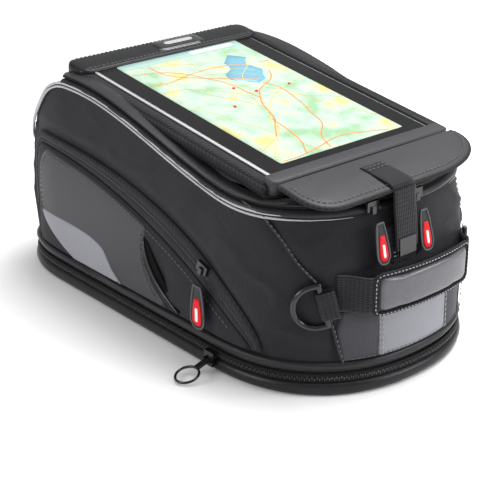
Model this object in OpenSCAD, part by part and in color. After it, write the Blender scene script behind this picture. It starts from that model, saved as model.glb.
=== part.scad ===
// Expandable tank bag with a tablet holder on its lid.
// Origin: centre of the base on its underside. +Z up, +Y towards the front of the motorcycle,
// +X to the rider's right.

/* [Base outline] */
// Width of the base
base_w = 236; // [232:1:240]
// Length of the base
base_len = 434; // [430:1:438]
// Depth of the rounded rider end
rear_depth = 115; // [110:1:120]
// Depth of the rounded front end
front_depth = 110; // [105:1:115]

/* [Base stack] */
// Height of the base rim
rim_h = 11.5; // [11:0.5:12.5]
// Height of the expansion zip, both tapes together
zip_h = 7; // [6.5:0.5:7.5]
// Height of the hem above the expansion zip
hem_h = 3.5; // [3:0.5:4]
// Height of the roll band at the foot of the bag wall
band_h = 6; // [5:0.5:6]

/* [Bag wall] */
// Thickness of the padded wall
wall_t = 4; // [3:0.5:4.5]
// Height of the side panels at the rider end
rear_h = 150; // [148:1:152]
// Height of the side panels at the crest
crest_h = 194; // [192:1:196]
// Depth of the side pockets
pocket_depth = 6; // [5:0.5:7]

/* [Holder and tablet] */
// Tablet width, length and thickness
tablet = [175, 257, 9];
// Tilt of the holder, front end up
tilt = 7.7; // [7:0.1:8.5]
// Height of the tablet's face above its middle
face_z = 188; // [187:0.5:190]
// Place of the middle of the tablet along the bag
face_y = -19; // [-20:0.5:-18]

/* [Carrying gear] */
// Width of the webbing of the closure strap
strap_w = 25; // [20:1:28]
// Height of the handle pad
pad_h = 33; // [30:1:36]
// Radius of the wire of the D-rings
dring_wire = 2.5; // [2:0.25:3]
// Radius of the tank ring socket
socket_r = 56; // [52:1:59]

/* [Hidden] */
$fn = 48;
eps = 0.01;
half_w = base_w / 2;
half_l = base_len / 2;
zip_mid = rim_h + zip_h / 2;
zip_top = rim_h + zip_h;
hem_top = zip_top + hem_h;
band_top = hem_top + band_h;
steps = 10;                                  // segments of each rounded quarter of the outline

// Insets of the bag wall at levels from the foot to the top: [z, side, rider end, front end]
levels = [[hem_top, 5, 5, 5], [60, 4.5, 6, 5], [95, 5, 9, 6], [125, 6, 14, 8], [150, 7, 20, 12],
          [212, 11, 38, 26]];

function signed_pow(v, e) = sign(v) * pow(abs(v), e);
// Plan outline: straight sides, a rounder rider end and a squarer front end
function plan(side, rear, front) = let (w = half_w - side, y0 = -half_l + rear_depth, y1 = half_l - front_depth)
    concat([for (i = [0 : 2 * steps]) let (a = i * 90 / steps)
                [w * signed_pow(cos(a), 2 / 3), y1 + (front_depth - front) * signed_pow(sin(a), 2 / 3)]],
           [for (i = [0 : 2 * steps]) let (a = 180 + i * 90 / steps)
                [w * signed_pow(cos(a), 2 / 2.25), y0 + (rear_depth - rear) * signed_pow(sin(a), 2 / 2.25)]]);
function even_plan(d) = plan(d, d, d);
function smooth(t) = let (u = min(1, max(0, t))) u * u * (3 - 2 * u);
function bezier(a, b, c, d, n = 8) = [for (i = [0 : n]) let (t = i / n, s = 1 - t)
    s * s * s * a + 3 * s * s * t * b + 3 * s * t * t * c + t * t * t * d];

// Side view: height of the top seam of the side panels along the bag
crest_y = 104;
function seam_z(y) = rear_h + (crest_h - rear_h) * smooth((y + 150) / 245);
front_arc = 50;
nose_arc = 70;
front_slope = 49;
// Front edge of the side view, from the crest down to the foot, moved inwards by d
function front_edge(d = 0) = let (
    knee_y = crest_y + front_arc * sin(front_slope), knee_z = crest_h - front_arc * (1 - cos(front_slope)),
    nose_y = half_l - 3 - nose_arc * (1 - sin(front_slope)),
    nose_z = knee_z - (nose_y - knee_y) * tan(front_slope))
    concat([for (i = [0 : 5]) let (a = i * front_slope / 5)
                [crest_y + (front_arc - d) * sin(a), crest_h - front_arc + (front_arc - d) * cos(a)]],
           [for (i = [0 : 5]) let (a = front_slope + i * (90 - front_slope) / 5)
                [nose_y + (nose_arc - d) * sin(a) - nose_arc * sin(front_slope),
                 nose_z + (nose_arc - d) * cos(a) - nose_arc * cos(front_slope)]]);
hinge_y = 121;                               // axis of the lid and of the holder
hinge_z = 195;
seam_ys = [for (i = [0 : 16]) -150 + i * (crest_y + 150) / 16];
// Region of the side view between the seam line raised by a and raised by b, for y from y0 to y1
function seam_band(a, b, y0, y1) = let (ys = [for (i = [0 : 24]) y0 + i * (y1 - y0) / 24])
    concat([for (y = ys) [y, top_z(y) + a]], [for (i = [24 : -1 : 0]) [ys[i], top_z(ys[i]) + b]]);
function top_z(y) = y <= crest_y ? seam_z(y)
    : crest_h - front_arc + sqrt(front_arc * front_arc - pow(min(y, 140) - crest_y, 2));
lid_low = 164;                               // least height of the lid's upper roll
function lid_top(y) = max(top_z(y) + 7, lid_low);
function face_at(y) = face_z + (y - face_y) * tan(tilt);

// Plan extrusion, ring, and lofted bag solid moved inwards by d
module slab(d, z0, z1) { translate([0, 0, z0]) linear_extrude(z1 - z0) polygon(even_plan(d)); }
module ring(d0, d1, z0, z1) {
    translate([0, 0, z0]) linear_extrude(z1 - z0) difference() {
        polygon(even_plan(d0));
        polygon(even_plan(d1));
    }
}
module bag_solid(d = 0, drop = 0) {
    rings = [for (l = levels) plan(l[1] + d, l[2] + d, l[3] + d)];
    n = len(rings[0]);
    m = len(levels);
    zs = [for (i = [0 : m - 1]) levels[i][0] - (i == 0 ? drop : 0)];
    points = [for (i = [0 : m - 1]) for (p = rings[i]) [p[0], p[1], zs[i]]];
    faces = concat([[for (j = [0 : n - 1]) j]],
        [for (i = [0 : m - 2]) for (j = [0 : n - 1]) let (k = (j + 1) % n)
            [i * n + j, (i + 1) * n + j, i * n + k]],
        [for (i = [0 : m - 2]) for (j = [0 : n - 1]) let (k = (j + 1) % n)
            [i * n + k, (i + 1) * n + j, (i + 1) * n + k]],
        [[for (j = [n - 1 : -1 : 0]) (m - 1) * n + j]]);
    polyhedron(points, faces);
}
// Outline of the side view (y, z) extruded along X
module across(points, x0 = -130, x1 = 130) {
    translate([x0, 0, 0]) rotate([90, 0, 90]) linear_extrude(x1 - x0) polygon(points);
}
// Layer of the bag wall between two depths, inside an outline of the side view
module wall_layer(d0, d1, points, x0 = -130, x1 = 130) {
    intersection() {
        difference() { bag_solid(d0); bag_solid(d1, 1); }
        across(points, x0, x1);
    }
}
module on_side(side) { mirror([side > 0 ? 1 : 0, 0, 0]) children(); }
module tilted() { translate([0, face_y, face_z]) rotate([tilt, 0, 0]) children(); }

// Side pocket, in the side view
pocket_foot = 31;
pocket_y0 = -140;
pocket_y1 = 158;
function pocket_seam(y) = let (u = (133 - y) / 273)
    pocket_foot + pow(max(0, 1 - u * u), 0.8) * (98 - 12 * u);
function zip_seam(y) = let (u = max(0, (133 - y) / 281))
    pocket_foot + pow(max(0, 1 - pow(u, 2.4)), 0.62) * (108 - 8 * u);
pocket_ys = [for (i = [0 : 20]) 133 - 273 * sin(i * 90 / 20)];
zip_ys = [for (i = [0 : 20]) 133 - 281 * sin(i * 90 / 20)];
pocket_front = [[pocket_y1, pocket_foot], [pocket_y1, 112], [154, 123], [146, 129]];
pocket_outline = concat(pocket_front, [for (y = pocket_ys) [y, pocket_seam(y)]]);
zip_outline = concat([[162, pocket_foot - 1], [162, 116], [158, 130], [148, 139]],
                     [for (y = zip_ys) [y, zip_seam(y)]]);
panel_outline = concat([[-38, pocket_foot + 0.5]],
    [[95, pocket_foot + 0.5]], bezier([115, 40], [133, 48], [152, 62], [151, 90]),
    bezier([150, 100], [148, 116], [140, 126], [131, 127]),
    [for (y = [100, 60, 20, -12]) [y, pocket_seam(y) - 3]],
    bezier([-12, 84], [-7, 66], [-18, 46], [-36, 36], 6));
patch_outline = concat([[24, pocket_foot + 1.5], [95, pocket_foot + 1.5]],
    bezier([104, 36], [120, 42], [140, 54], [145, 66]),
    bezier([140, 67], [100, 66], [62, 68], [47, 57]), [[36, 42]]);

// ---- Base ----
module base_pan() color("#1d1d20") difference() {
    slab(0, 0, rim_h);
    slab(7, 5.5, rim_h + 1);
    slab(7, -1, 2.5);
    translate([0, 0, -1]) cylinder(h = 20, r = socket_r + 12);
}
module anti_slip_pad() color("#18181a") difference() {
    slab(7.2, 0, 2.5);
    translate([0, 0, -1]) cylinder(h = 5, r = socket_r + 12);
}
// Tank ring socket: an open dish with a shoulder, and a slot for the latch at its front
shoulder_z = 5;
latch_z = 5.7;
module ring_socket() color("#26262a") difference() {
    cylinder(h = rim_h, r = socket_r + 12);
    translate([0, 0, -1]) cylinder(h = shoulder_z + 1, r = socket_r);
    translate([0, 0, -1]) cylinder(h = 10.7, r = socket_r - 6);
    translate([-12.4, socket_r - 10, latch_z - 0.3]) cube([24.8, 20.4, 3.9]);
    translate([-8, socket_r + 1.5, -1]) cube([16, 8.6, 8]);
}
module lock_latch() color("#b02a22") {
    translate([-12, socket_r - 9.5, latch_z]) cube([24, 13.5, 3.3]);
    translate([-7, socket_r + 1.9, 0.9]) cube([14, 2, latch_z - 0.9 + eps]);
}
// Two return springs behind the latch, each drawn as four turns
module latch_spring() color("#b9b9bd") for (x = [-6, 6]) for (k = [0 : 3])
    translate([x, socket_r + 4.2 + k * 1.5, latch_z + 1.65]) rotate([-90, 0, 0]) difference() {
        cylinder(h = 0.9, r = 1.6);
        translate([0, 0, -1]) cylinder(h = 3, r = 1);
    }
module floor_board() color("#2a2a2d") slab(16, 11.8, 14.3);
module expansion_zip_lower() color("#1a1a1c") ring(2.5, 5, rim_h, zip_mid - 0.1);
module expansion_zip_upper() color("#1a1a1c") ring(2.5, 5, zip_mid + 0.1, zip_top);
gusset_in = 7.5;
gusset_top = hem_top + 2;
module expansion_gusset() color("#232326") ring(gusset_in, gusset_in + 1.5, rim_h + 0.2, gusset_top);
slider_y = -100;
module expansion_slider() color("#0f0f10") {
    translate([-half_w - 3.4, slider_y - 6, rim_h + 0.6]) cube([5.4, 12, zip_h - 1.2]);
    translate([-half_w - 3.4, slider_y - 4.5, 5]) cube([3, 9, rim_h + 0.6 - 5 + eps]);
    for (s = [-1, 1]) translate([-half_w - 6.2, ring_axis[1] + s * 3.6 - 0.7, 9]) cube([2.9, 1.4, 3.4]);
}
ring_r = 11;
ring_wire = 1.1;
ring_tilt = 16;
ring_axis = [-half_w - 5, slider_y, 10.6];
module ring_pull() color("#131314") translate(ring_axis) rotate([0, -ring_tilt, 0]) {
    translate([-21.5, 0, 0]) rotate_extrude() translate([ring_r - ring_wire, 0]) circle(ring_wire, $fn = 20);
    translate([-11.5, -2.5, -1.1]) cube([11.5, 5, 2.2]);
    rotate([-90, 0, 0]) translate([0, 0, -2.5]) cylinder(h = 5, r = 1.1);
}

// ---- Bag body ----
module roll_band() color("#1b1b1d") {
    ring(5, gusset_in - 0.1, zip_top + 0.02, hem_top);
    ring(2, gusset_in - 0.1, hem_top, gusset_top + 0.1);
    ring(2, 9, gusset_top + 0.1, band_top);
}
side_view = concat([[-half_l, band_top]], [for (y = concat([-half_l], seam_ys)) [y, seam_z(y)]],
                   front_edge(), [[half_l, band_top]]);
cavity_view = concat([[-half_l, band_top - 1], [-half_l, 205], [hinge_y, 205]],
    [for (p = front_edge(wall_t)) if (p[0] > hinge_y) p], [[half_l, band_top - 1]]);
module pocket_bay(grow) across([for (p = pocket_outline) [p[0] + (p[0] > 0 ? grow : -grow),
    p[1] + (p[1] > 60 ? grow : 0)]], -130, 0);
module main_shell() color("#232327") difference() {
    union() {
        difference() {
            intersection() { bag_solid(0); across(side_view); }
            intersection() { bag_solid(wall_t, 1); across(cavity_view); }
        }
        for (side = [-1, 1]) on_side(side) intersection() {
            difference() { bag_solid(wall_t - 1); bag_solid(pocket_depth + 3.5, 1); }
            pocket_bay(4);
            across(side_view);
            translate([-130, -200, band_top]) cube([130, 400, 200]);
        }
    }
    for (side = [-1, 1]) on_side(side) intersection() {
        difference() { bag_solid(-3); bag_solid(pocket_depth + 1, 1); }
        pocket_bay(1);
    }
    for (side = [-1, 1]) on_side(side) translate([-130, pocket_y0 - 4, band_top + 1])
        cube([17, pocket_y1 - pocket_y0 + 4, 2.2]);
}
// Points of the piping: on the wall, along the top seam and down over the front
function wall_x(y, side, yr, yf) = let (w = half_w - side,
    a = max(0, (-half_l + rear_depth - y) / (rear_depth - yr)), b = max(0, (y - half_l + front_depth) / (front_depth - yf)))
    a > 0 ? w * pow(max(0, 1 - pow(min(a, 1), 2.25)), 1 / 2.25) : w * pow(max(0, 1 - pow(min(b, 1), 3)), 1 / 3);
function level_of(z, c) = lookup(z, [for (l = levels) [l[0], l[c]]]);
function side_point(y, z, out) = [-(wall_x(y, level_of(z, 1) - out, level_of(z, 2) - out, level_of(z, 3) - out)), y, z];
piping_r = 1.9;
piping_yz = concat([for (i = [0 : 7]) [-190 + 10 * sin(i * 90 / 7) , rear_h]],
    [for (i = [1 : 22]) let (y = -180 + i * (crest_y + 180) / 22) [y, seam_z(y)]],
    [for (p = front_edge()) if (p[0] > crest_y + 1 && p[1] > 80) p]);
// Tube swept along points, with flat ends
module sweep(path, r, sides = 8) {
    n = len(path);
    dirs = [for (i = [0 : n - 1]) let (d = path[min(n - 1, i + 1)] - path[max(0, i - 1)]) d / norm(d)];
    points = [for (i = [0 : n - 1]) let (d = dirs[i], u0 = cross(d, [0, 0, 1]),
        u = norm(u0) < 0.05 ? [1, 0, 0] : u0 / norm(u0), v = cross(u, d))
        for (j = [0 : sides - 1]) path[i] + r * (cos(j * 360 / sides) * u + sin(j * 360 / sides) * v)];
    faces = concat([[for (j = [0 : sides - 1]) j]],
        [for (i = [0 : n - 2]) for (j = [0 : sides - 1]) let (k = (j + 1) % sides)
            [i * sides + j, (i + 1) * sides + j, i * sides + k]],
        [for (i = [0 : n - 2]) for (j = [0 : sides - 1]) let (k = (j + 1) % sides)
            [i * sides + k, (i + 1) * sides + j, (i + 1) * sides + k]],
        [[for (j = [sides - 1 : -1 : 0]) (n - 1) * sides + j]]);
    polyhedron(points, faces);
}
module piping() difference() {
    sweep([for (p = piping_yz) side_point(p[0], p[1] - piping_r, piping_r + 0.05)], piping_r);
    bag_solid(-0.04);
}
module piping_left() color("#b8b8bd") piping();
module piping_right() color("#b8b8bd") mirror([1, 0, 0]) piping();
module main_zip_lower() color("#161618")
    wall_layer(1, 3, seam_band(0.5, 2.8, -200, hinge_y - 6));
module main_zip_upper() color("#161618")
    wall_layer(1, 3, seam_band(3.2, 6, -200, hinge_y - 6));
module side_zip() intersection() {
    wall_layer(-1.4, -0.02, zip_outline, -130, 0);
    difference() {
        across(zip_outline, -130, 0);
        across([for (p = pocket_outline) [p[0] + (p[0] > 0 ? 1 : -1) , p[1] + (p[1] > 60 ? 1.2 : 0)]], -131, 1);
        translate([-131, -200, 0]) cube([140, 400, band_top + 0.5]);
    }
}
module side_zip_left() color("#46464a") side_zip();
module side_zip_right() color("#46464a") mirror([1, 0, 0]) side_zip();
module end_layer(d0, d1, x0, x1, z0, z1) intersection() {
    difference() { bag_solid(d0); bag_solid(d1, 1); }
    translate([x0, -half_l - 5, z0]) cube([x1 - x0, half_l - 100, z1 - z0]);
}
module end_panel() color("#8f8f96") end_layer(-1.2, -0.02, -38, 38, band_top + 1, 68);
module end_patches() color("#4c4c52") {
    end_layer(-1.2, -0.02, -70, -38.2, band_top + 1, 70);
    end_layer(-1.2, -0.02, 38.2, 70, band_top + 1, 70);
}
strap_x = -14;
module strap_anchor() color("#202022") intersection() {
    difference() { bag_solid(-2.2); bag_solid(-0.02, 1); }
    translate([strap_x - strap_w / 2, -half_l, 108]) cube([strap_w, 60, 24]);
}

// ---- Carrying gear ----
dring_at = [-80.4, -189.5, 79];
dring_turn = 141.2;                          // heading of the ring's plane along the wall
dring_lean = 14;
dring_bar = 35;
dring_leg = 6;
dring_arc = dring_bar / 2;
module dring_frame() translate(dring_at) rotate([0, 0, dring_turn]) rotate([0, dring_lean, 0]) children();
// D-ring in its own plane: bar along Z, bow along +X
module dring() dring_frame() {
    translate([0, 0, -dring_arc]) cylinder(h = dring_bar, r = dring_wire);
    for (s = [-1, 1]) translate([0, 0, s * dring_arc]) {
        sphere(dring_wire);
        rotate([0, 90, 0]) cylinder(h = dring_leg, r = dring_wire);
    }
    translate([dring_leg, 0, 0]) rotate([90, 0, 0]) rotate([0, 0, -90])
        rotate_extrude(angle = 180) translate([dring_arc, 0]) circle(dring_wire);
}
module dring_left() color("#141415") dring();
module dring_right() color("#141415") mirror([1, 0, 0]) dring();
module dring_loop() dring_frame() difference() {
    union() {
        translate([0, 0, -12]) cylinder(h = 24, r = 4.2);
        translate([-10, -4.2, -12]) cube([10, 2.6, 24]);
    }
    translate([0, 0, -20]) cylinder(h = 40, r = dring_wire + 0.06);
}
module dring_loop_left() color("#242426") dring_loop();
module dring_loop_right() color("#242426") mirror([1, 0, 0]) dring_loop();
handle_z = 88;
handle_out = 221;                            // reach of the handle behind the origin
handle_bow = 210;                            // bow radius of its padded stretch
handle_x = 54;                               // half length of the padded stretch
function bow_y(x, r = handle_bow) = -handle_out + r - sqrt(r * r - x * x);
function bow_path(x) = [for (i = [0 : 12]) let (u = x * (i / 6 - 1)) [u, bow_y(u)]];
handle_path = concat([[-64.5, -198]], bow_path(handle_x), [[64.5, -198]]);
// Strip of even thickness along a path, between two offsets
function offset_path(path, d) = let (n = len(path)) [for (i = [0 : n - 1])
    let (v = path[min(n - 1, i + 1)] - path[max(0, i - 1)], m = norm(v)) path[i] + d * [-v[1], v[0]] / m];
function strip(path, d0, d1) = let (n = len(path), q = offset_path(path, d1))
    concat(offset_path(path, d0), [for (i = [n - 1 : -1 : 0]) q[i]]);
module band(path, d0, d1, height) translate([0, 0, handle_z - height / 2]) linear_extrude(height)
    polygon(strip(path, d0, d1));
module handle_webbing() color("#242426") band(handle_path, 0, 2.4, pad_h - 1);
module handle_pad() color("#8f8f96") difference() {
    band(bow_path(handle_x - 1), -5, 4.2, pad_h + 1.4);
    band(handle_path, 0, 2.4, pad_h - 1);
}

// ---- Side pockets ----
module pocket() intersection() {
    difference() { bag_solid(-2.4); bag_solid(0.6, 1); }
    across(pocket_outline, -130, 0);
    translate([-130, -200, pocket_foot]) cube([130, 400, 200]);
}
module pocket_left() color("#2a2a2e") pocket();
module pocket_right() color("#2a2a2e") mirror([1, 0, 0]) pocket();
module moulded_panel() wall_layer(-3.4, -2.42, panel_outline, -130, 0);
module moulded_panel_left() color("#66666b") moulded_panel();
module moulded_panel_right() color("#66666b") mirror([1, 0, 0]) moulded_panel();
module reflective_patch() wall_layer(-4, -3.42, patch_outline, -130, 0);
module reflective_patch_left() color("#9c9ca2") reflective_patch();
module reflective_patch_right() color("#9c9ca2") mirror([1, 0, 0]) reflective_patch();
module slot_trim() sweep([for (p = bezier([-17, 72], [-22, 62], [-34, 50], [-46, 44], 6))
    side_point(p[0], p[1], 3.75)], 1.3);
module slot_trim_left() color("#0c0c0d") slot_trim();
module slot_trim_right() color("#0c0c0d") mirror([1, 0, 0]) slot_trim();
side_slider = [-89, 87];
module pocket_slider() translate(side_point(side_slider[0], side_slider[1], 2.4))
    rotate([20, 0, 0]) {
        translate([-3, -6, -4]) cube([3.6, 12, 8]);
        translate([-4.6, -2, -5.5]) cube([1.7, 4, 6]);
    }
module pocket_slider_left() color("#0e0e0f") pocket_slider();
module pocket_slider_right() color("#0e0e0f") mirror([1, 0, 0]) pocket_slider();
// Pull with a narrow top and a cut-cornered foot, hanging down from its pivot
module pull_tab(w, h, t) rotate([90, 0, 90]) linear_extrude(t) polygon([[-w * 0.28, 0], [w * 0.28, 0],
    [w * 0.5, -h * 0.72], [w * 0.5, -h * 0.86], [w * 0.3, -h], [-w * 0.3, -h], [-w * 0.5, -h * 0.86],
    [-w * 0.5, -h * 0.72]]);
pull_pivot = [-122.4, -91, 80];
module pocket_pull() translate(pull_pivot) {
    translate([-1.5, 0, -6]) pull_tab(17, 38, 3);
    translate([-0.8, -1.6, -7]) cube([1.6, 3.2, 7]);
}
module pocket_pull_left() color("#2b2b2d") pocket_pull();
module pocket_pull_right() color("#2b2b2d") mirror([1, 0, 0]) pocket_pull();

// ---- Lid ----
lid_flange = 12;                             // depth at which the lid drops inside the wall
under_tray = 14.5;                           // depth of the lid's top below the tablet's face
panel_top = [for (y = [-230, hinge_y - 1]) [y, face_at(y) - under_tray]];
panel_view = [panel_top[0], panel_top[1], panel_top[1] - [0, 3], panel_top[0] - [0, 3]];
rim_ys = concat([for (i = [0 : 24]) -200 + i * (hinge_y + 194) / 24], [hinge_y + 1]);
rim_n = len(rim_ys) - 1;
flange_view = concat([for (y = rim_ys) [y, min(face_at(y) - under_tray - 3, top_z(y) + 3)]],
                     [for (i = [rim_n : -1 : 0]) [rim_ys[i], lid_top(rim_ys[i])]]);
rim_view = concat([for (y = rim_ys) [y, top_z(y) + 6.1]],
                  [for (i = [rim_n : -1 : 0]) [rim_ys[i], lid_top(rim_ys[i])]]);
module lid_panel() color("#1f1f22") intersection() { bag_solid(lid_flange + 4); across(panel_view); }
module lid_rim() color("#232326") difference() {
    union() {
        wall_layer(1, lid_flange, rim_view);
        wall_layer(lid_flange - eps, lid_flange + 3.98, flange_view);
    }
    tilted() translate([holder_w[0] - 1.5, holder_rear - 3.5, -14.3])
        cube([holder_w[1] - holder_w[0] + 3, holder_front - holder_rear + 20, 40]);
}
module lid_hinge_tabs() color("#1c1c1e") tilted() for (s = [-1, 1])
    translate([s * 86 - 10, 117, -14.2]) cube([20, 21, 1.2]);

// ---- Main zip sliders and pulls ----
main_slider = [-39, 6.5];
main_slider_y = [-195.2, -198];
module main_slider_body(i) translate([main_slider[i], main_slider_y[i], 152]) {
    translate([-6, -3, -3.5]) cube([12, 3, 8]);
    translate([-2, -4.6, -5.5]) cube([4, 1.7, 6]);
}
module main_slider_left() color("#0e0e0f") main_slider_body(0);
module main_slider_right() color("#0e0e0f") main_slider_body(1);
pull_lean = 13;                              // the pulls lie along the leaning wall
module main_pull(i) translate([main_slider[i], main_slider_y[i] - 6.2, 146])
    rotate([-pull_lean, 0, 0]) rotate([0, 0, 90]) {
    translate([-1.2, 0, -5]) pull_tab(12, 33, 2.4);
    translate([-0.8, -1.6, -6]) cube([1.6, 3.2, 6]);
}
module main_pull_left() color("#2b2b2d") main_pull(0);
module main_pull_right() color("#2b2b2d") main_pull(1);

// ---- Tablet holder, drawn in the tablet's own plane ----
holder_w = [-101, 99];
holder_front = 139;
holder_rear = -134;
tray_top = -tablet[2] - 0.6;
module rounded_plate(x0, x1, y0, y1, r, z0, z1) translate([0, 0, z0]) linear_extrude(z1 - z0) {
    translate([x0 + r, y0]) square([x1 - x0 - 2 * r, y1 - y0]);
    translate([x0, y0 + r]) square([x1 - x0, y1 - y0 - 2 * r]);
    for (x = [x0 + r, x1 - r]) for (y = [y0 + r, y1 - r]) translate([x, y]) circle(r);
}
module holder_tray() color("#2a2a2d") tilted()
    rounded_plate(holder_w[0], holder_w[1], holder_rear, holder_front, 10, tray_top - 3, tray_top);
// Frame: front and rider-end lips over the tablet, a wall on the right, the left side open
frame_slot = 238.2;                          // the slot for the tablet, open on the left
module holder_frame() color("#55555a") tilted() {
    difference() {
        rounded_plate(holder_w[0], holder_w[1], 110, holder_front, 10, tray_top, 2);
        translate([-150, 109, tray_top - 1]) cube([frame_slot, 20.3, 1.02 - tray_top]);
    }
    difference() {
        translate([-96, holder_rear, tray_top]) cube([190, 15, -tray_top + 2]);
        translate([-150, -129.2, tray_top - 1]) cube([frame_slot, 20.3, 1.02 - tray_top]);
    }
    translate([88.2, -119, tray_top]) cube([10.8, 229, -tray_top + 1]);
}
module holder_badge() color("#101011") tilted() translate([13, 124.5, 2])
    rounded_plate(-26, 26, -10, 10, 6, 0, 1.2);
flap_len = 48;
module holder_flap() color("#505055") tilted()
    rounded_plate(-94, 96, holder_rear - 3 - flap_len, holder_rear - 3, 12, 0, 2.8);
module strap_tab() color("#1f1f21") tilted()
    translate([strap_x - strap_w / 2, holder_rear - flap_len - 4, 2.82]) cube([strap_w, 32, 1.8]);
strap_top = [strap_x, -205.6, 164];
strap_fall = 46;
strap_lean = 4;
module closure_strap() color("#242426") translate(strap_top) rotate([-strap_lean, 0, 0])
    translate([-strap_w / 2, -2, -strap_fall]) cube([strap_w, 2, strap_fall]);
module strap_hook() color("#77777b") translate(strap_top) rotate([-strap_lean, 0, 0])
    translate([-9, -4.2, -strap_fall - 7]) cube([18, 1.8, 14]);
module tablet_case() color("#b8babd") tilted() difference() {
    rounded_plate(-tablet[0] / 2, tablet[0] / 2, -tablet[1] / 2, tablet[1] / 2, 9, -tablet[2], -0.3);
    rounded_plate(-tablet[0] / 2 + 1.2, tablet[0] / 2 - 1.2, -tablet[1] / 2 + 1.2, tablet[1] / 2 - 1.2, 8,
                  -1.5, 1);
}
module tablet_glass() color("#0d0d10") tilted()
    rounded_plate(-tablet[0] / 2 + 1.2, tablet[0] / 2 - 1.2, -tablet[1] / 2 + 1.2, tablet[1] / 2 - 1.2, 8,
                  -1.5, 0);

base_pan();
anti_slip_pad();
ring_socket();
latch_spring();
lock_latch();
floor_board();
expansion_zip_lower();
expansion_gusset();
expansion_slider();
ring_pull();
expansion_zip_upper();
roll_band();
main_shell();
piping_left();
piping_right();
main_zip_lower();
side_zip_left();
side_zip_right();
end_panel();
end_patches();
strap_anchor();
dring_loop_left();
dring_loop_right();
dring_left();
dring_right();
handle_webbing();
handle_pad();
pocket_left();
pocket_right();
moulded_panel_left();
moulded_panel_right();
reflective_patch_left();
reflective_patch_right();
slot_trim_left();
slot_trim_right();
pocket_slider_left();
pocket_slider_right();
pocket_pull_left();
pocket_pull_right();
lid_panel();
lid_rim();
main_zip_upper();
lid_hinge_tabs();
main_slider_left();
main_slider_right();
main_pull_left();
main_pull_right();
holder_tray();
holder_frame();
holder_badge();
holder_flap();
strap_tab();
closure_strap();
strap_hook();
tablet_case();
tablet_glass();
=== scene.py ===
import math
import bpy
import bmesh
import numpy as np
from mathutils import Matrix, Vector, noise
from mathutils.geometry import delaunay_2d_cdt


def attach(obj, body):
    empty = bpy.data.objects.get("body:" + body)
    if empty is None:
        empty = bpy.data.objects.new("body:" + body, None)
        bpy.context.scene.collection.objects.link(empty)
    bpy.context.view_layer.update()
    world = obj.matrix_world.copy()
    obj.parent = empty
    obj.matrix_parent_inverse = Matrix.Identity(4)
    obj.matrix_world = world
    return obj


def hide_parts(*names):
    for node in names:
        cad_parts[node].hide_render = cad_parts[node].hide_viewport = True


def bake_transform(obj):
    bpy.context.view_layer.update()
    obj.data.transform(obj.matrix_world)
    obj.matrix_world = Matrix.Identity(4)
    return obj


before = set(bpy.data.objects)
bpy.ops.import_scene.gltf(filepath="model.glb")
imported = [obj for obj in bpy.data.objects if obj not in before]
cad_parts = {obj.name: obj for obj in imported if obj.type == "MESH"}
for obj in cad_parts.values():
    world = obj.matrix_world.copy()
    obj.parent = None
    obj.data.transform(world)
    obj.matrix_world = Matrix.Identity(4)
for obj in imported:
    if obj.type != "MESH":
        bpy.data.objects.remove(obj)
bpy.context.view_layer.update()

MM = 0.001
UV_MM = 0.01                                   # one UV unit is 100 mm

# ---------------------------------------------------------------- shape of the bag, in mm
HALF_W, HALF_L, REAR, FRONT = 118.0, 217.0, 115.0, 110.0
REAR_POW, FRONT_POW = 2.25, 3.0
# height, and how far the sides, the rider end and the front stand inside the base outline there
LEVELS = np.array([[22, 5, 5, 5], [60, 4.5, 6, 5], [95, 5, 9, 6], [125, 6, 14, 8],
                   [150, 7, 20, 12], [212, 11, 38, 26]], float)
BAND_TOP = 28.0
CREST_Y, CREST_H, CREST_R, REAR_H = 104.0, 194.0, 50.0, 150.0
SLOPE_Y, SLOPE_Z, SLOPE_END = 141.7, 176.8, 196.8      # straight slope in front of the crest
SLOPE = math.tan(math.radians(49))
TOE_Y, TOE_Z, TOE_R, TOE_END = 144, 67.5, 70.0, 213.9  # arc below the slope
HINGE_Y = 121.0
TILT = math.radians(7.7)                               # slope of the tablet's face
FACE_Y, FACE_Z = -19.0, 188.0                          # its middle
SIDES = ((-1, "left"), (1, "right"))


def inset(z, column):
    return float(np.interp(z, LEVELS[:, 0], LEVELS[:, column]))


def smooth(t):
    u = min(1.0, max(0.0, t))
    return u * u * (3 - 2 * u)


def seam_z(y):
    """Height of the top seam along the bag."""
    return REAR_H + (CREST_H - REAR_H) * smooth((y + 150) / 245)


def top_z(y):
    if y <= CREST_Y:
        return seam_z(y)
    return CREST_H - CREST_R + math.sqrt(max(0.0, CREST_R ** 2 - (min(y, 140) - CREST_Y) ** 2))


def front_z(y):
    """Height of the outline in the side view, down the front too."""
    if y <= CREST_Y:
        return seam_z(y)
    if y <= SLOPE_Y:
        return CREST_H - CREST_R + math.sqrt(CREST_R ** 2 - (y - CREST_Y) ** 2)
    if y <= SLOPE_END:
        return SLOPE_Z - (y - SLOPE_Y) * SLOPE
    return TOE_Z + math.sqrt(max(0.0, TOE_R ** 2 - (min(y, TOE_END) - TOE_Y) ** 2))


def wall_x(y, z, out=0.0):
    """Half width of the bag at a point of the side view, moved outwards."""
    w = HALF_W - inset(z, 1) + out
    a = (-HALF_L + REAR - y) / (REAR - inset(z, 2) + out)
    b = (y - HALF_L + FRONT) / (FRONT - inset(z, 3) + out)
    if a > 0:
        return w * max(0.0, 1 - min(a, 1) ** REAR_POW) ** (1 / REAR_POW)
    return w * max(0.0, 1 - min(max(b, 0), 1) ** FRONT_POW) ** (1 / FRONT_POW)


def side_pt(side, y, z, out=0.0):
    """A point of the side wall, moved outwards."""
    return Vector((side * wall_x(y, z, out), y, z))


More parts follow.
